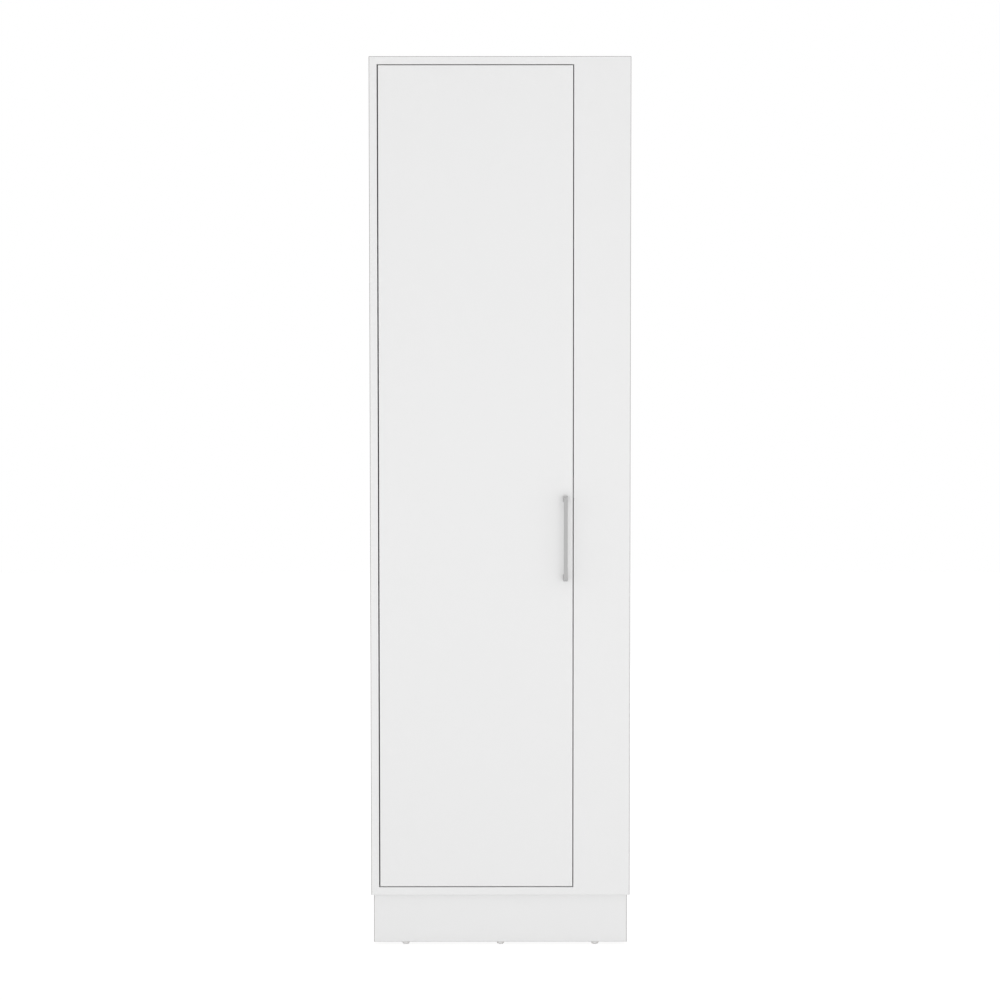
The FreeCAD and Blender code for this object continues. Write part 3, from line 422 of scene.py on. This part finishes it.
def beech():
    """Beech dowels: fine flecks along the grain."""
    finish = Finish("beech_dowels")
    flecks = finish.noise(finish.at, scale=1300.0, detail=4.0, roughness=0.7)
    finish.set(Base_Color=finish.mixed(flecks, BEECH_DARK, BEECH_LIGHT))
    finish.set(Roughness=finish.spread(flecks, 0.2, 0.8, to_low=0.55, to_high=0.7))
    finish.relief(flecks, depth=0.00003, strength=0.4)
    return finish.material


def paint(thing, material):
    """Give a piece, or a CAD node, one finish all over."""
    thing.data.materials.clear()
    thing.data.materials.append(material)


# Ways to make a piece

DOUBLES = 0.000002  # vertices closer than this are one


def as_mesh(work, name):
    """Turn what was worked on into a mesh."""
    mesh = bpy.data.meshes.new(name)
    work.to_mesh(mesh)
    work.free()
    return mesh


def finished(name, mesh, body, material, nodes=(), smooth_below=35.0):
    """A finished piece: on its body, with its finish, in place of CAD nodes."""
    for face in mesh.polygons:
        face.use_smooth = True
    mesh.set_sharp_from_angle(angle=math.radians(smooth_below))
    piece = bpy.data.objects.new(name, mesh)
    bpy.context.scene.collection.objects.link(piece)
    paint(piece, material)
    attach(piece, body)
    if nodes:
        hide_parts(*nodes)
    return piece


def rounding(piece, width, segments=3, angle=30.0):
    """Round the sharp edges of a piece."""
    bevel = piece.modifiers.new("rounding", "BEVEL")
    bevel.width = width
    bevel.segments = segments
    bevel.limit_method = "ANGLE"
    bevel.angle_limit = math.radians(angle)
    bevel.use_clamp_overlap = True
    bevel.harden_normals = True
    return piece


def merged_copy(node):
    """A copy of a CAD node's mesh with its triangles joined and its flat faces whole."""
    work = bmesh.new()
    work.from_mesh(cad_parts[node].data)
    bmesh.ops.remove_doubles(work, verts=work.verts, dist=DOUBLES)
    flat = math.radians(0.5)
    bmesh.ops.dissolve_limit(work, angle_limit=flat, verts=work.verts, edges=work.edges)
    return as_mesh(work, node + "_softened")


def softened(node, body, material, width):
    """A CAD node again, with its edges rounded as pressing or moulding leaves them."""
    piece = finished(node + "_piece", merged_copy(node), body, material, [node])
    return rounding(piece, width)


# The handle

BAR_DEPTH, LEG_HEIGHT = 0.008, 0.012
HALF_BAR, HALF_FOOT = 0.00385, 0.0049


def rounded_corner(before, here, after, radius, steps=8):
    """A square corner between its two neighbours, as the points of a quarter circle."""
    if not radius:
        return [here]
    back, onward = (before - here).normalized(), (after - here).normalized()
    centre = here + (back + onward) * radius
    points = []
    for step in range(steps + 1):
        turn = math.radians(90 * step / steps)
        reach = onward * radius * math.cos(turn)
        points.append(centre - reach - back * radius * math.sin(turn))
    return points


def bow_outline(low, high):
    """The side view of the bow handle, as (y, z) points going round it once."""
    outer, inner = 0.0075, 0.0035
    door, front, hollow = high.y, low.y, low.y + BAR_DEPTH
    corners = [
        (Vector((door, low.z)), 0.0),
        (Vector((front, low.z)), outer),
        (Vector((front, high.z)), outer),
        (Vector((door, high.z)), 0.0),
        (Vector((door, high.z - LEG_HEIGHT)), 0.0),
        (Vector((hollow, high.z - LEG_HEIGHT)), inner),
        (Vector((hollow, low.z + LEG_HEIGHT)), inner),
        (Vector((door, low.z + LEG_HEIGHT)), 0.0),
    ]
    points = []
    for number, (here, radius) in enumerate(corners):
        after = corners[(number + 1) % len(corners)][0]
        points += rounded_corner(corners[number - 1][0], here, after, radius)
    return points


def widen_legs(work, across, hollow, door):
    """Draw the bar's two sides apart behind its hollow, more and more towards the door."""
    flare = 1.2
    for share in (0.0, 0.25, 0.5, 0.75):
        cut = hollow + (door - hollow) * share
        whole = work.verts[:] + work.edges[:] + work.faces[:]
        bmesh.ops.bisect_plane(work, geom=whole, plane_co=(0, cut, 0), plane_no=(0, 1, 0))
    for vertex in work.verts:
        share = max(0.0, (vertex.co.y - hollow) / (door - hollow))
        wide = HALF_BAR + (HALF_FOOT - HALF_BAR) * share ** flare
        vertex.co.x = across + math.copysign(wide, vertex.co.x - across)


def make_handle(material):
    """A bow handle of solid bar, with legs that widen towards the door."""
    low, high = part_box("handle")
    across = (low.x + high.x) / 2
    work = bmesh.new()
    side = [work.verts.new((across - HALF_BAR, y, z)) for y, z in bow_outline(low, high)]
    face = work.faces.new(side)
    solid = bmesh.ops.extrude_face_region(work, geom=[face])
    moved = [part for part in solid["geom"] if isinstance(part, bmesh.types.BMVert)]
    bmesh.ops.translate(work, verts=moved, vec=(2 * HALF_BAR, 0, 0))
    widen_legs(work, across, low.y + BAR_DEPTH, high.y)
    bmesh.ops.recalc_face_normals(work, faces=work.faces)
    mesh = as_mesh(work, "bow_handle")
    nodes, slot = ["handle"], "satin_nickel"
    piece = finished("bow_handle", mesh, "door", material, nodes, smooth_below=40.0)
    return rounding(piece, width=0.0014, segments=4, angle=40.0)


# Screws, cam locks, nails, shelf pins and glides


def screw_sizes(head, height, shank, length):
    """The inputs of the screw's tree: how wide and high its head is, and its shank."""
    return {"Head Width": head, "Head Height": height, "Shank Width": shank, "Shank Length": length}


PLATE_SCREW = screw_sizes(head=0.009, height=0.0016, shank=0.006, length=0.012)
ARM_SCREW = screw_sizes(head=0.0064, height=0.0015, shank=0.004, length=0.006)
SMALL_SCREW = screw_sizes(head=0.007, height=0.0015, shank=0.0035, length=0.012)
HANDLE_BOLT = screw_sizes(head=0.008, height=0.0024, shank=0.004, length=0.025)
ADJUSTER = screw_sizes(head=0.0052, height=0.0008, shank=0.0025, length=0.0015)
CAM = {
    "Width": 0.015, "Height": 0.012,
    "Slot Length": 0.009, "Slot Width": 0.002, "Slot Depth": 0.002,
}
NAIL = {"Head Width": 0.004, "Head Height": 0.0006, "Shank Width": 0.0016, "Length": 0.015}
SHELF_PIN = {
    "Plug Width": 0.005, "Plug Depth": 0.008,
    "Peg Width": 0.006, "Peg Length": 0.007,
    "Collar Width": 0.008, "Collar Thickness": 0.0004,
}
GLIDE = {
    "Width": 0.015, "Height": 0.006, "Rounding": 0.0045,
    "Stem Width": 0.006, "Stem Length": 0.012,
}


def cross_head_screw():
    """A domed head with a cross recess, on a plain shank. It is seated at height 0."""
    recipe = Recipe("cross_head_screw")
    width, height = recipe.ask("Head Width"), recipe.ask("Head Height")
    shank, length = recipe.ask("Shank Width"), recipe.ask("Shank Length")
    head = recipe.drum(width, 0.0, height, sides=40, rings=7)
    head = recipe.domed(head, width, recipe.times(height, 0.5), recipe.times(height, 0.5))
    floor, above = recipe.times(height, 0.25), recipe.times(height, 1.4)
    arm, web = recipe.times(width, 0.52), recipe.times(width, 0.13)
    core = recipe.drum(recipe.times(width, 0.24), floor, above, sides=12)
    tools = [recipe.bar(arm, web, floor, above), recipe.bar(web, arm, floor, above), core]
    below = recipe.times(length, -1.0)
    bolt = recipe.drum(shank, below, recipe.times(height, 0.1), sides=20)
    return recipe.set_at_places([recipe.cut(head, tools), bolt], seed=7)


def slotted_cam():
    """A cam lock: a drum with a rim round its face, and a cross and slot for the screwdriver."""
    recipe = Recipe("slotted_cam")
    width, height = recipe.ask("Width"), recipe.ask("Height")
    slot, web, depth = recipe.ask("Slot Length"), recipe.ask("Slot Width"), recipe.ask("Slot Depth")
    floor, above, boss_top = recipe.times(depth, -1.0), 0.001, -0.0002
    body = recipe.drum(width, recipe.times(height, -1.0), 0.0, sides=48, rings=8)
    body = recipe.domed(body, width, above=-0.0001, sink=0.0005)
    dish = recipe.drum(recipe.times(width, 0.84), recipe.times(depth, -0.3), above, sides=48)
    boss = recipe.drum(recipe.times(width, 0.68), recipe.times(depth, -0.5), boss_top, sides=48)
    cross = recipe.times(slot, 0.66)
    tools = [recipe.bar(slot, web, floor, above), recipe.bar(web, cross, floor, above)]
    boss = recipe.cut(boss, tools)
    return recipe.set_at_places([recipe.cut(body, [dish] + tools), boss], seed=3)


def round_nail():
    """A nail: a flat head with a low dome, flush at height 0, and its shank."""
    recipe = Recipe("round_nail")
    width, height = recipe.ask("Head Width"), recipe.ask("Head Height")
    shank, length = recipe.ask("Shank Width"), recipe.ask("Length")
    floor = recipe.times(height, -1.0)
    head = recipe.drum(width, floor, 0.0, sides=20, rings=4)
    head = recipe.domed(head, width, recipe.times(height, -0.5), recipe.times(height, 0.45))
    bolt = recipe.drum(shank, recipe.times(length, -1.0), recipe.times(height, -0.5), sides=10)
    return recipe.set_at_places([head, bolt], seed=5)


def collared_pin():
    """A shelf pin: a plug for the board, a thin collar against it, and a peg with a domed end."""
    recipe = Recipe("collared_pin")
    plug, depth = recipe.ask("Plug Width"), recipe.ask("Plug Depth")
    peg, length = recipe.ask("Peg Width"), recipe.ask("Peg Length")
    collar, thin = recipe.ask("Collar Width"), recipe.ask("Collar Thickness")
    shank = recipe.drum(plug, recipe.times(depth, -1.0), 0.0, sides=24)
    rim = recipe.drum(collar, 0.0, thin, sides=40)
    end = recipe.drum(peg, 0.0, length, sides=32, along=2, rings=6)
    end = recipe.domed(end, peg, recipe.times(length, 0.8), recipe.times(peg, 0.2))
    return recipe.set_at_places([shank, rim, end], seed=9)


def rounded_glide():
    """A glide that faces down: a disc with a rounded lower edge, and its stem."""
    recipe = Recipe("rounded_glide")
    width, height = recipe.ask("Width"), recipe.ask("Height")
    stem, length = recipe.ask("Stem Width"), recipe.ask("Stem Length")
    disc = recipe.drum(width, 0.0, height, sides=64, along=24, rings=6)
    disc = recipe.rounded_off(disc, width, height, recipe.ask("Rounding"))
    shank = recipe.drum(stem, recipe.times(length, -1.0), recipe.times(height, 0.1), sides=24)
    return recipe.set_at_places([disc, shank], seed=11)


def bounding_corners(points):
    """The lowest and the highest corner of the box round some points."""
    columns = list(zip(*points))
    return Vector([min(column) for column in columns]), Vector([max(column) for column in columns])


def separate_solids(node):
    """The lowest and highest corners of each of a CAD node's solids."""
    work = bmesh.new()
    work.from_mesh(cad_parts[node].data)
    bmesh.ops.remove_doubles(work, verts=work.verts, dist=DOUBLES)
    unseen = set(work.verts)
    boxes = []
    while unseen:
        reached = [unseen.pop()]
        for vertex in reached:
            near = {edge.other_vert(vertex) for edge in vertex.link_edges} & unseen
            unseen -= near
            reached.extend(near)
        boxes.append(bounding_corners(vertex.co for vertex in reached))
    work.free()
    return sorted(boxes, key=lambda box: tuple(round(number, 5) for number in box[0]))


def seat(box, faces, proud):
    """The point on a fastener's axis at its seat, a given height below the end that it faces."""
    low, high = box
    reach = abs((high - low).dot(faces)) / 2
    return (low + high) / 2 + faces * (reach - proud)


def points_to_grow_on(name, places, facing):
    """An object with a point at each place, which remembers the way that it faces."""
    mesh = bpy.data.meshes.new(name)
    mesh.from_pydata(places, [], [])
    attribute = mesh.attributes.new("faces", "FLOAT_VECTOR", "POINT")
    for number, faces in enumerate(facing):
        attribute.data[number].vector = faces
    holder = bpy.data.objects.new(name, mesh)
    bpy.context.scene.collection.objects.link(holder)
    return holder


def set_out(name, tree, sizes, finish, places, facing):
    """One plain mesh of what a tree makes at each place."""
    holder = points_to_grow_on(name + "_places", places, facing)
    modifier = holder.modifiers.new("fasteners", "NODES")
    modifier.node_group = tree
    inputs = sizes | {"Finish": finish}
    for item in tree.interface.items_tree:
        if item.in_out == "INPUT" and item.name in inputs:
            modifier[item.identifier] = inputs[item.name]
    evaluated = holder.evaluated_get(bpy.context.evaluated_depsgraph_get())
    mesh = bpy.data.meshes.new_from_object(evaluated)
    mesh.name = name
    bpy.data.objects.remove(holder)
    return mesh


def fasteners(node, tree, sizes, ways, proud, body, finish):
    """Every fastener of a CAD node, in its own place."""
    boxes = separate_solids(node)
    facing = [ways(low, high) for low, high in boxes]
    places = [seat(box, faces, proud) for box, faces in zip(boxes, facing)]
    mesh = set_out(node + "_made", tree, sizes, finish, places, facing)
    return finished(node + "_made", mesh, body, finish, [node], smooth_below=40.0)


def always(faces):
    """The way that fasteners face, where they all face one way."""
    return lambda low, high: faces


def cam_way(low, high):
    """A cam lock faces along its short side: to the right, down, or inwards."""
    size = high - low
    short_side = min(range(3), key=lambda axis: size[axis])
    inwards = REAR if low.y < 0 else FRONT
    return (RIGHT, inwards, DOWN)[short_side]


def pin_way(low, high):
    """A shelf pin points from its board into the space between the divider and the partition."""
    divider_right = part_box("inner_divider")[1].x
    return RIGHT if low.x < divider_right else LEFT


def fit_screws(tree, steel, zinc):
    """Every screw with a cross head, and the bolts of the handle."""
    for node, faces, body, sizes, finish in (
        ("hinge_plate_screws", RIGHT, "carcass", PLATE_SCREW, steel),
        ("hinge_arm_screws", RIGHT, "carcass", ARM_SCREW, steel),
        ("hinge_cup_screws", REAR, "door", SMALL_SCREW, steel),
        ("handle_screws", REAR, "door", HANDLE_BOLT, zinc),
        ("catch_screws", LEFT, "carcass", SMALL_SCREW, zinc),
        ("broom_clip_screws", FRONT, "carcass", SMALL_SCREW, zinc),
        ("wall_bracket_screws", DOWN, "carcass", SMALL_SCREW, zinc),
    ):
        height = sizes["Head Height"]
        fasteners(node, tree, sizes, always(faces), height, body, finish)


def fit_adjusters(tree, steel):
    """The small side-adjusting screw of each hinge arm, where the arm lies over its plate."""
    arm_height, from_rear = 0.009, 0.027
    places = []
    for number in range(1, 5):
        low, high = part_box(f"hinge_arm_{number}")
        seat_of_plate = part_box(f"hinge_plate_{number}")[0].x
        middle = (low.z + high.z) / 2
        places.append(Vector((seat_of_plate + arm_height, high.y - from_rear, middle)))
    mesh = set_out("hinge_adjusters", tree, ADJUSTER, steel, places, [RIGHT] * 4)
    finished("hinge_adjusters", mesh, "carcass", steel, smooth_below=40.0)


def fit_cams(cast):
    """The cam locks of the boards, flush with the faces they are set in."""
    tree = slotted_cam()
    fasteners("cam_locks", tree, CAM, cam_way, 0.0, "carcass", cast)


def fit_nails(zinc):
    """The nails of the back, flush with it."""
    tree, rearwards = round_nail(), always(REAR)
    fasteners("back_nails", tree, NAIL, rearwards, 0.0, "carcass", zinc)


def fit_shelf_pins(zinc):
    """The pins under the loose shelves."""
    tree, length = collared_pin(), SHELF_PIN["Peg Length"]
    fasteners("shelf_pins", tree, SHELF_PIN, pin_way, length, "carcass", zinc)


def fit_glides(plastic):
    """The glides under the plinth."""
    tree, downwards, height = rounded_glide(), always(DOWN), GLIDE["Height"]
    fasteners("floor_glides", tree, GLIDE, downwards, height, "carcass", plastic)


# Small fittings


def blocks_mesh(name, boxes):
    """A mesh of separate blocks, each between its lowest and its highest corner."""
    work = bmesh.new()
    for low, high in boxes:
        made = bmesh.ops.create_cube(work, size=1.0)
        for vertex in made["verts"]:
            shares = vertex.co + Vector((0.5, 0.5, 0.5))
            vertex.co = Vector([a + (b - a) * share for a, b, share in zip(low, high, shares)])
    return as_mesh(work, name)


def make_pole_plates(zinc):
    """The two steel plates that stand a little proud of the magnet catch's housing."""
    low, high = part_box("magnet_catch")
    middle = (low.z + high.z) / 2
    half_length, half_thickness, proud, depth = 0.0115, 0.0006, 0.0002, 0.004
    boxes = []
    for share in (0.3, 0.7):
        across = low.x + (high.x - low.x) * share
        corner = Vector((across - half_thickness, low.y - proud, middle - half_length))
        opposite = Vector((across + half_thickness, low.y + depth, middle + half_length))
        boxes.append((corner, opposite))
    mesh = blocks_mesh("catch_pole_plates", boxes)
    piece = finished("catch_pole_plates", mesh, "carcass", zinc)
    return rounding(piece, width=0.0002, segments=2)


def add_rod(work, axis, profile, sides=24):
    """An upright rod round an axis, through the (height, radius) pairs of its profile."""
    turns = [math.tau * step / sides for step in range(sides)]
    spokes = [Vector((math.cos(turn), math.sin(turn), 0.0)) for turn in turns]
    rings = []
    for height, radius in profile:
        centre = axis + Vector((0.0, 0.0, height))
        rings.append([work.verts.new(centre + spoke * radius) for spoke in spokes])
    for below, above in zip(rings, rings[1:]):
        for step in range(sides):
            following = (step + 1) % sides
            work.faces.new((below[step], below[following], above[following], above[step]))
    work.faces.new(reversed(rings[0]))
    work.faces.new(rings[-1])


def make_clip_lips(plastic):
    """The rolled lips at the mouth of each broom clip, with softened ends."""
    radius, soft, half_mouth, ahead = 0.0019, 0.0007, 0.0088, 0.0108
    work = bmesh.new()
    for number in (1, 2):
        low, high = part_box(f"broom_clip_{number}")
        centre = Vector(((low.x + high.x) / 2, low.y + (high.x - low.x) / 2, 0.0))
        profile = [(low.z, radius - soft), (low.z + soft, radius)]
        profile += [(high.z - soft, radius), (high.z, radius - soft)]
        for side in (-1, 1):
            add_rod(work, centre + Vector((side * half_mouth, -ahead, 0.0)), profile)
    mesh = as_mesh(work, "broom_clip_lips")
    return finished("broom_clip_lips", mesh, "carcass", plastic, smooth_below=50.0)


def make_gussets(zinc):
    """The pressed web that stiffens the corner of each wall bracket."""
    leg, half_width, half_plate = 0.009, 0.0016, 0.001
    work = bmesh.new()
    for side in ("left", "right"):
        low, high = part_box(f"wall_bracket_{side}")
        middle = (low.x + high.x) / 2
        rear, top = high.y - half_plate, high.z - half_plate
        corners = [(rear, top), (rear - leg, top), (rear, top - leg)]
        left = [work.verts.new((middle - half_width, y, z)) for y, z in corners]
        right = [work.verts.new((middle + half_width, y, z)) for y, z in corners]
        work.faces.new(left)
        work.faces.new(reversed(right))
        for here, following in ((0, 1), (1, 2), (2, 0)):
            work.faces.new((left[following], left[here], right[here], right[following]))
    bmesh.ops.recalc_face_normals(work, faces=work.faces)
    mesh = as_mesh(work, "bracket_gussets")
    piece = finished("bracket_gussets", mesh, "carcass", zinc)
    return rounding(piece, width=0.0006)


# Surroundings


def looked_at(tree):
    """Whether a ray comes from the camera, straight, by way of a mirror or through glass."""
    rays = tree.add("ShaderNodeLightPath").outputs
    seen = tree.sum("ADD", rays["Is Camera Ray"], rays["Is Glossy Ray"], clamped=True)
    return tree.sum("ADD", seen, rays["Is Transmission Ray"], clamped=True)


def floor_white():
    """White to look at, and greyer only where the cupboard shades it."""
    finish = Finish("floor_white")
    glow = {"Color": grey(1.0), "Strength": 0.94}
    bare = finish.add("ShaderNodeBsdfDiffuse", feeds={"Color": grey(0.92)}).outputs[0]
    shaded = finish.add("ShaderNodeBsdfDiffuse", feeds={"Color": grey(0.12)}).outputs[0]
    glowing = finish.add("ShaderNodeEmission", feeds=glow).outputs[0]
    bright = finish.add("ShaderNodeAddShader", feeds={0: shaded, 1: glowing}).outputs[0]
    feeds = {0: looked_at(finish), 1: bare, 2: bright}
    surface = finish.add("ShaderNodeMixShader", feeds=feeds).outputs[0]
    finish.feed(finish.tree.nodes["Material Output"].inputs["Surface"], surface)
    return finish.material


def make_floor():
    """A wide floor for the cupboard to stand on."""
    reach = 9.0
    corners = [(-reach, -reach, 0), (reach, -reach, 0), (reach, reach, 0), (-reach, reach, 0)]
    mesh = bpy.data.meshes.new("floor")
    mesh.from_pydata(corners, [], [(0, 1, 2, 3)])
    floor = bpy.data.objects.new("floor", mesh)
    bpy.context.scene.collection.objects.link(floor)
    paint(floor, floor_white())


def make_world(level):
    """Even light from all round, and white where it is looked at."""
    world = bpy.data.worlds.new("studio")
    world.use_nodes = True
    bpy.context.scene.world = world
    tree = Tree(world.node_tree)
    strength = tree.spread(looked_at(tree), 0.0, 1.0, to_low=level, to_high=1.0)
    background = world.node_tree.nodes["Background"]
    tree.feed(background.inputs["Color"], grey(1.0))
    tree.feed(background.inputs["Strength"], strength)


def panel_light(name, at, aim, size, power):
    """A soft rectangular lamp that points at a place."""
    lamp = bpy.data.lights.new(name, "AREA")
    lamp.shape = "RECTANGLE"
    lamp.size, lamp.size_y = size
    lamp.energy = power
    holder = bpy.data.objects.new(name, lamp)
    holder.location = at
    holder.rotation_euler = (Vector(aim) - Vector(at)).to_track_quat("-Z", "Y").to_euler()
    holder.visible_camera = False
    holder.visible_glossy = False
    bpy.context.scene.collection.objects.link(holder)


def make_lights():
    """Even light, and a soft lamp in front of the cupboard, behind it and on either side."""
    make_world(level=0.78)
    middle = (0.0, 0.0, 0.95)
    panel_light("front_light", (0.2, -4.2, 0.75), middle, size=(3.3, 1.4), power=42.3)
    panel_light("left_light", (-4.0, -0.6, 1.6), middle, size=(2.5, 2.5), power=8.0)
    panel_light("right_light", (4.0, -0.2, 1.6), middle, size=(2.5, 2.5), power=8.0)
    panel_light("rear_light", (0.4, 4.5, 1.7), middle, size=(3.0, 3.0), power=24.0)


def facing_ways(pitch, yaw, roll):
    """The camera's own right, up and forward ways, from how far it is tilted, in degrees."""
    pitch, yaw, roll = math.radians(pitch), math.radians(yaw), math.radians(roll)
    flat = math.cos(pitch)
    ahead = Vector((math.sin(yaw) * flat, math.cos(yaw) * flat, -math.sin(pitch)))
    level = Vector((math.cos(yaw), -math.sin(yaw), 0.0))
    upright = level.cross(ahead)
    across = level * math.cos(roll) + upright * math.sin(roll)
    return across, across.cross(ahead), ahead


def make_camera():
    """A camera at chest height, some five metres in front, tilted down a little."""
    place = Vector((-0.0057, -5.159, 1.18272))
    across, upward, ahead = facing_ways(pitch=3.075, yaw=0.06, roll=-0.029)
    lens = bpy.data.cameras.new("camera")
    lens.sensor_width, lens.lens = 36.0, 88.88112
    lens.clip_end = 100.0
    camera = bpy.data.objects.new("camera", lens)
    turned = Matrix((across, upward, -ahead)).transposed()
    camera.matrix_world = Matrix.Translation(place) @ turned.to_4x4()
    bpy.context.scene.collection.objects.link(camera)
    bpy.context.scene.camera = camera


# Boards

# Each board, with the faces that are left as sawn chipboard, the sides whose arrises show a line of
# painted shade, and the sides whose arrises show it only faintly
INNER_SHELF = {"cut": [REAR_SIDE], "shaded_arrises": [FRONT_SIDE, UNDERSIDE, TOP_SIDE]}
SIDE_SHELF = {"shaded_arrises": [RIGHT_SIDE, UNDERSIDE, TOP_SIDE]}
BOARDS = {
    "bottom_panel": {"cut": [REAR_SIDE], "shaded_arrises": [FRONT_SIDE, LEFT_SIDE, RIGHT_SIDE]},
    "top_panel": {"cut": [REAR_SIDE], "shaded_arrises": [FRONT_SIDE, LEFT_SIDE, RIGHT_SIDE, TOP_SIDE]},
    "left_side_panel": {"cut": [REAR_SIDE], "shaded_arrises": [FRONT_SIDE, LEFT_SIDE]},
    "partition_panel": {"cut": [REAR_SIDE]},
    "right_front_panel": {"shaded_arrises": [FRONT_SIDE, RIGHT_SIDE]},
    "side_bay_back_board": {"shaded_arrises": [FRONT_SIDE, RIGHT_SIDE]},
    "fixed_shelf": INNER_SHELF,
    "inner_divider": {"cut": [REAR_SIDE], "shaded_arrises": [FRONT_SIDE, LEFT_SIDE, RIGHT_SIDE]},
    "inner_shelf_1": INNER_SHELF,
    "inner_shelf_2": INNER_SHELF,
    "inner_shelf_3": INNER_SHELF,
    "broom_rail": {"shaded_arrises": [FRONT_SIDE, UNDERSIDE, TOP_SIDE]},
    "side_shelf_1": SIDE_SHELF,
    "side_shelf_2": SIDE_SHELF,
    "side_shelf_3": SIDE_SHELF,
    "side_shelf_4": SIDE_SHELF,
    "plinth_front": {
        "cut": [UNDERSIDE], "shaded_arrises": [FRONT_SIDE, LEFT_SIDE, RIGHT_SIDE], "faintly_shaded_arrises": [UNDERSIDE],
    },
    "plinth_back": {
        "cut": [UNDERSIDE], "shaded_arrises": [REAR_SIDE, LEFT_SIDE, RIGHT_SIDE, UNDERSIDE],
    },
    "plinth_left_end": {"cut": [UNDERSIDE], "shaded_arrises": [LEFT_SIDE, UNDERSIDE]},
    "plinth_right_end": {"cut": [UNDERSIDE], "shaded_arrises": [RIGHT_SIDE, UNDERSIDE]},
    "door_panel": {},
}


def finish_boards():
    """Give each board its own melamine, and each sheet of the back its own fibreboard."""
    for name, sides in BOARDS.items():
        paint(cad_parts[name], melamine(name, *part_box(name), **sides))
    for name in ("back_panel_lower", "back_panel_upper"):
        paint(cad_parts[name], fibreboard(name, *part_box(name)))


# Fittings


def soften_fittings(steel, zinc, plastic):
    """The pressed and moulded fittings, with rounded edges."""
    pressed, moulded, housing, strike = 0.0004, 0.0005, 0.0006, 0.0002
    for number in range(1, 5):
        softened(f"hinge_arm_{number}", "carcass", steel, pressed)
        softened(f"hinge_plate_{number}", "carcass", steel, pressed)
        softened(f"hinge_cup_{number}", "door", steel, pressed)
    for side in ("left", "right"):
        softened(f"wall_bracket_{side}", "carcass", zinc, pressed)
    for number in (1, 2):
        softened(f"broom_clip_{number}", "carcass", plastic, moulded)
    softened("magnet_catch", "carcass", plastic, housing)
    softened("strike_plate", "door", zinc, strike)


def finish_fittings():
    """Finish the rest: the CAD nodes that stay as they are, and the pieces made anew."""
    steel = plated_metal("nickelled_steel", level=0.62, tint=0.012, roughness=0.22, spangle=90.0)
    zinc = plated_metal("zinc_plated_steel", level=0.55, tint=-0.012, roughness=0.30, spangle=160.0)
    cast = plated_metal("zinc_die_cast", level=0.45, tint=0.0, roughness=0.42, spangle=260.0)
    plastic = white_plastic()
    paint(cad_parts["hinge_pins"], steel)
    paint(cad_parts["cam_bolts"], zinc)
    paint(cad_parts["wood_dowels"], beech())
    make_handle(satin_nickel())
    soften_fittings(steel, zinc, plastic)
    screw = cross_head_screw()
    fit_screws(screw, steel, zinc)
    fit_adjusters(screw, steel)
    fit_cams(cast)
    fit_nails(zinc)
    fit_shelf_pins(zinc)
    fit_glides(plastic)
    make_pole_plates(zinc)
    make_clip_lips(plastic)
    make_gussets(zinc)


bpy.context.scene.view_settings.view_transform = "Standard"
make_camera()
make_floor()
make_lights()
finish_boards()
finish_fittings()
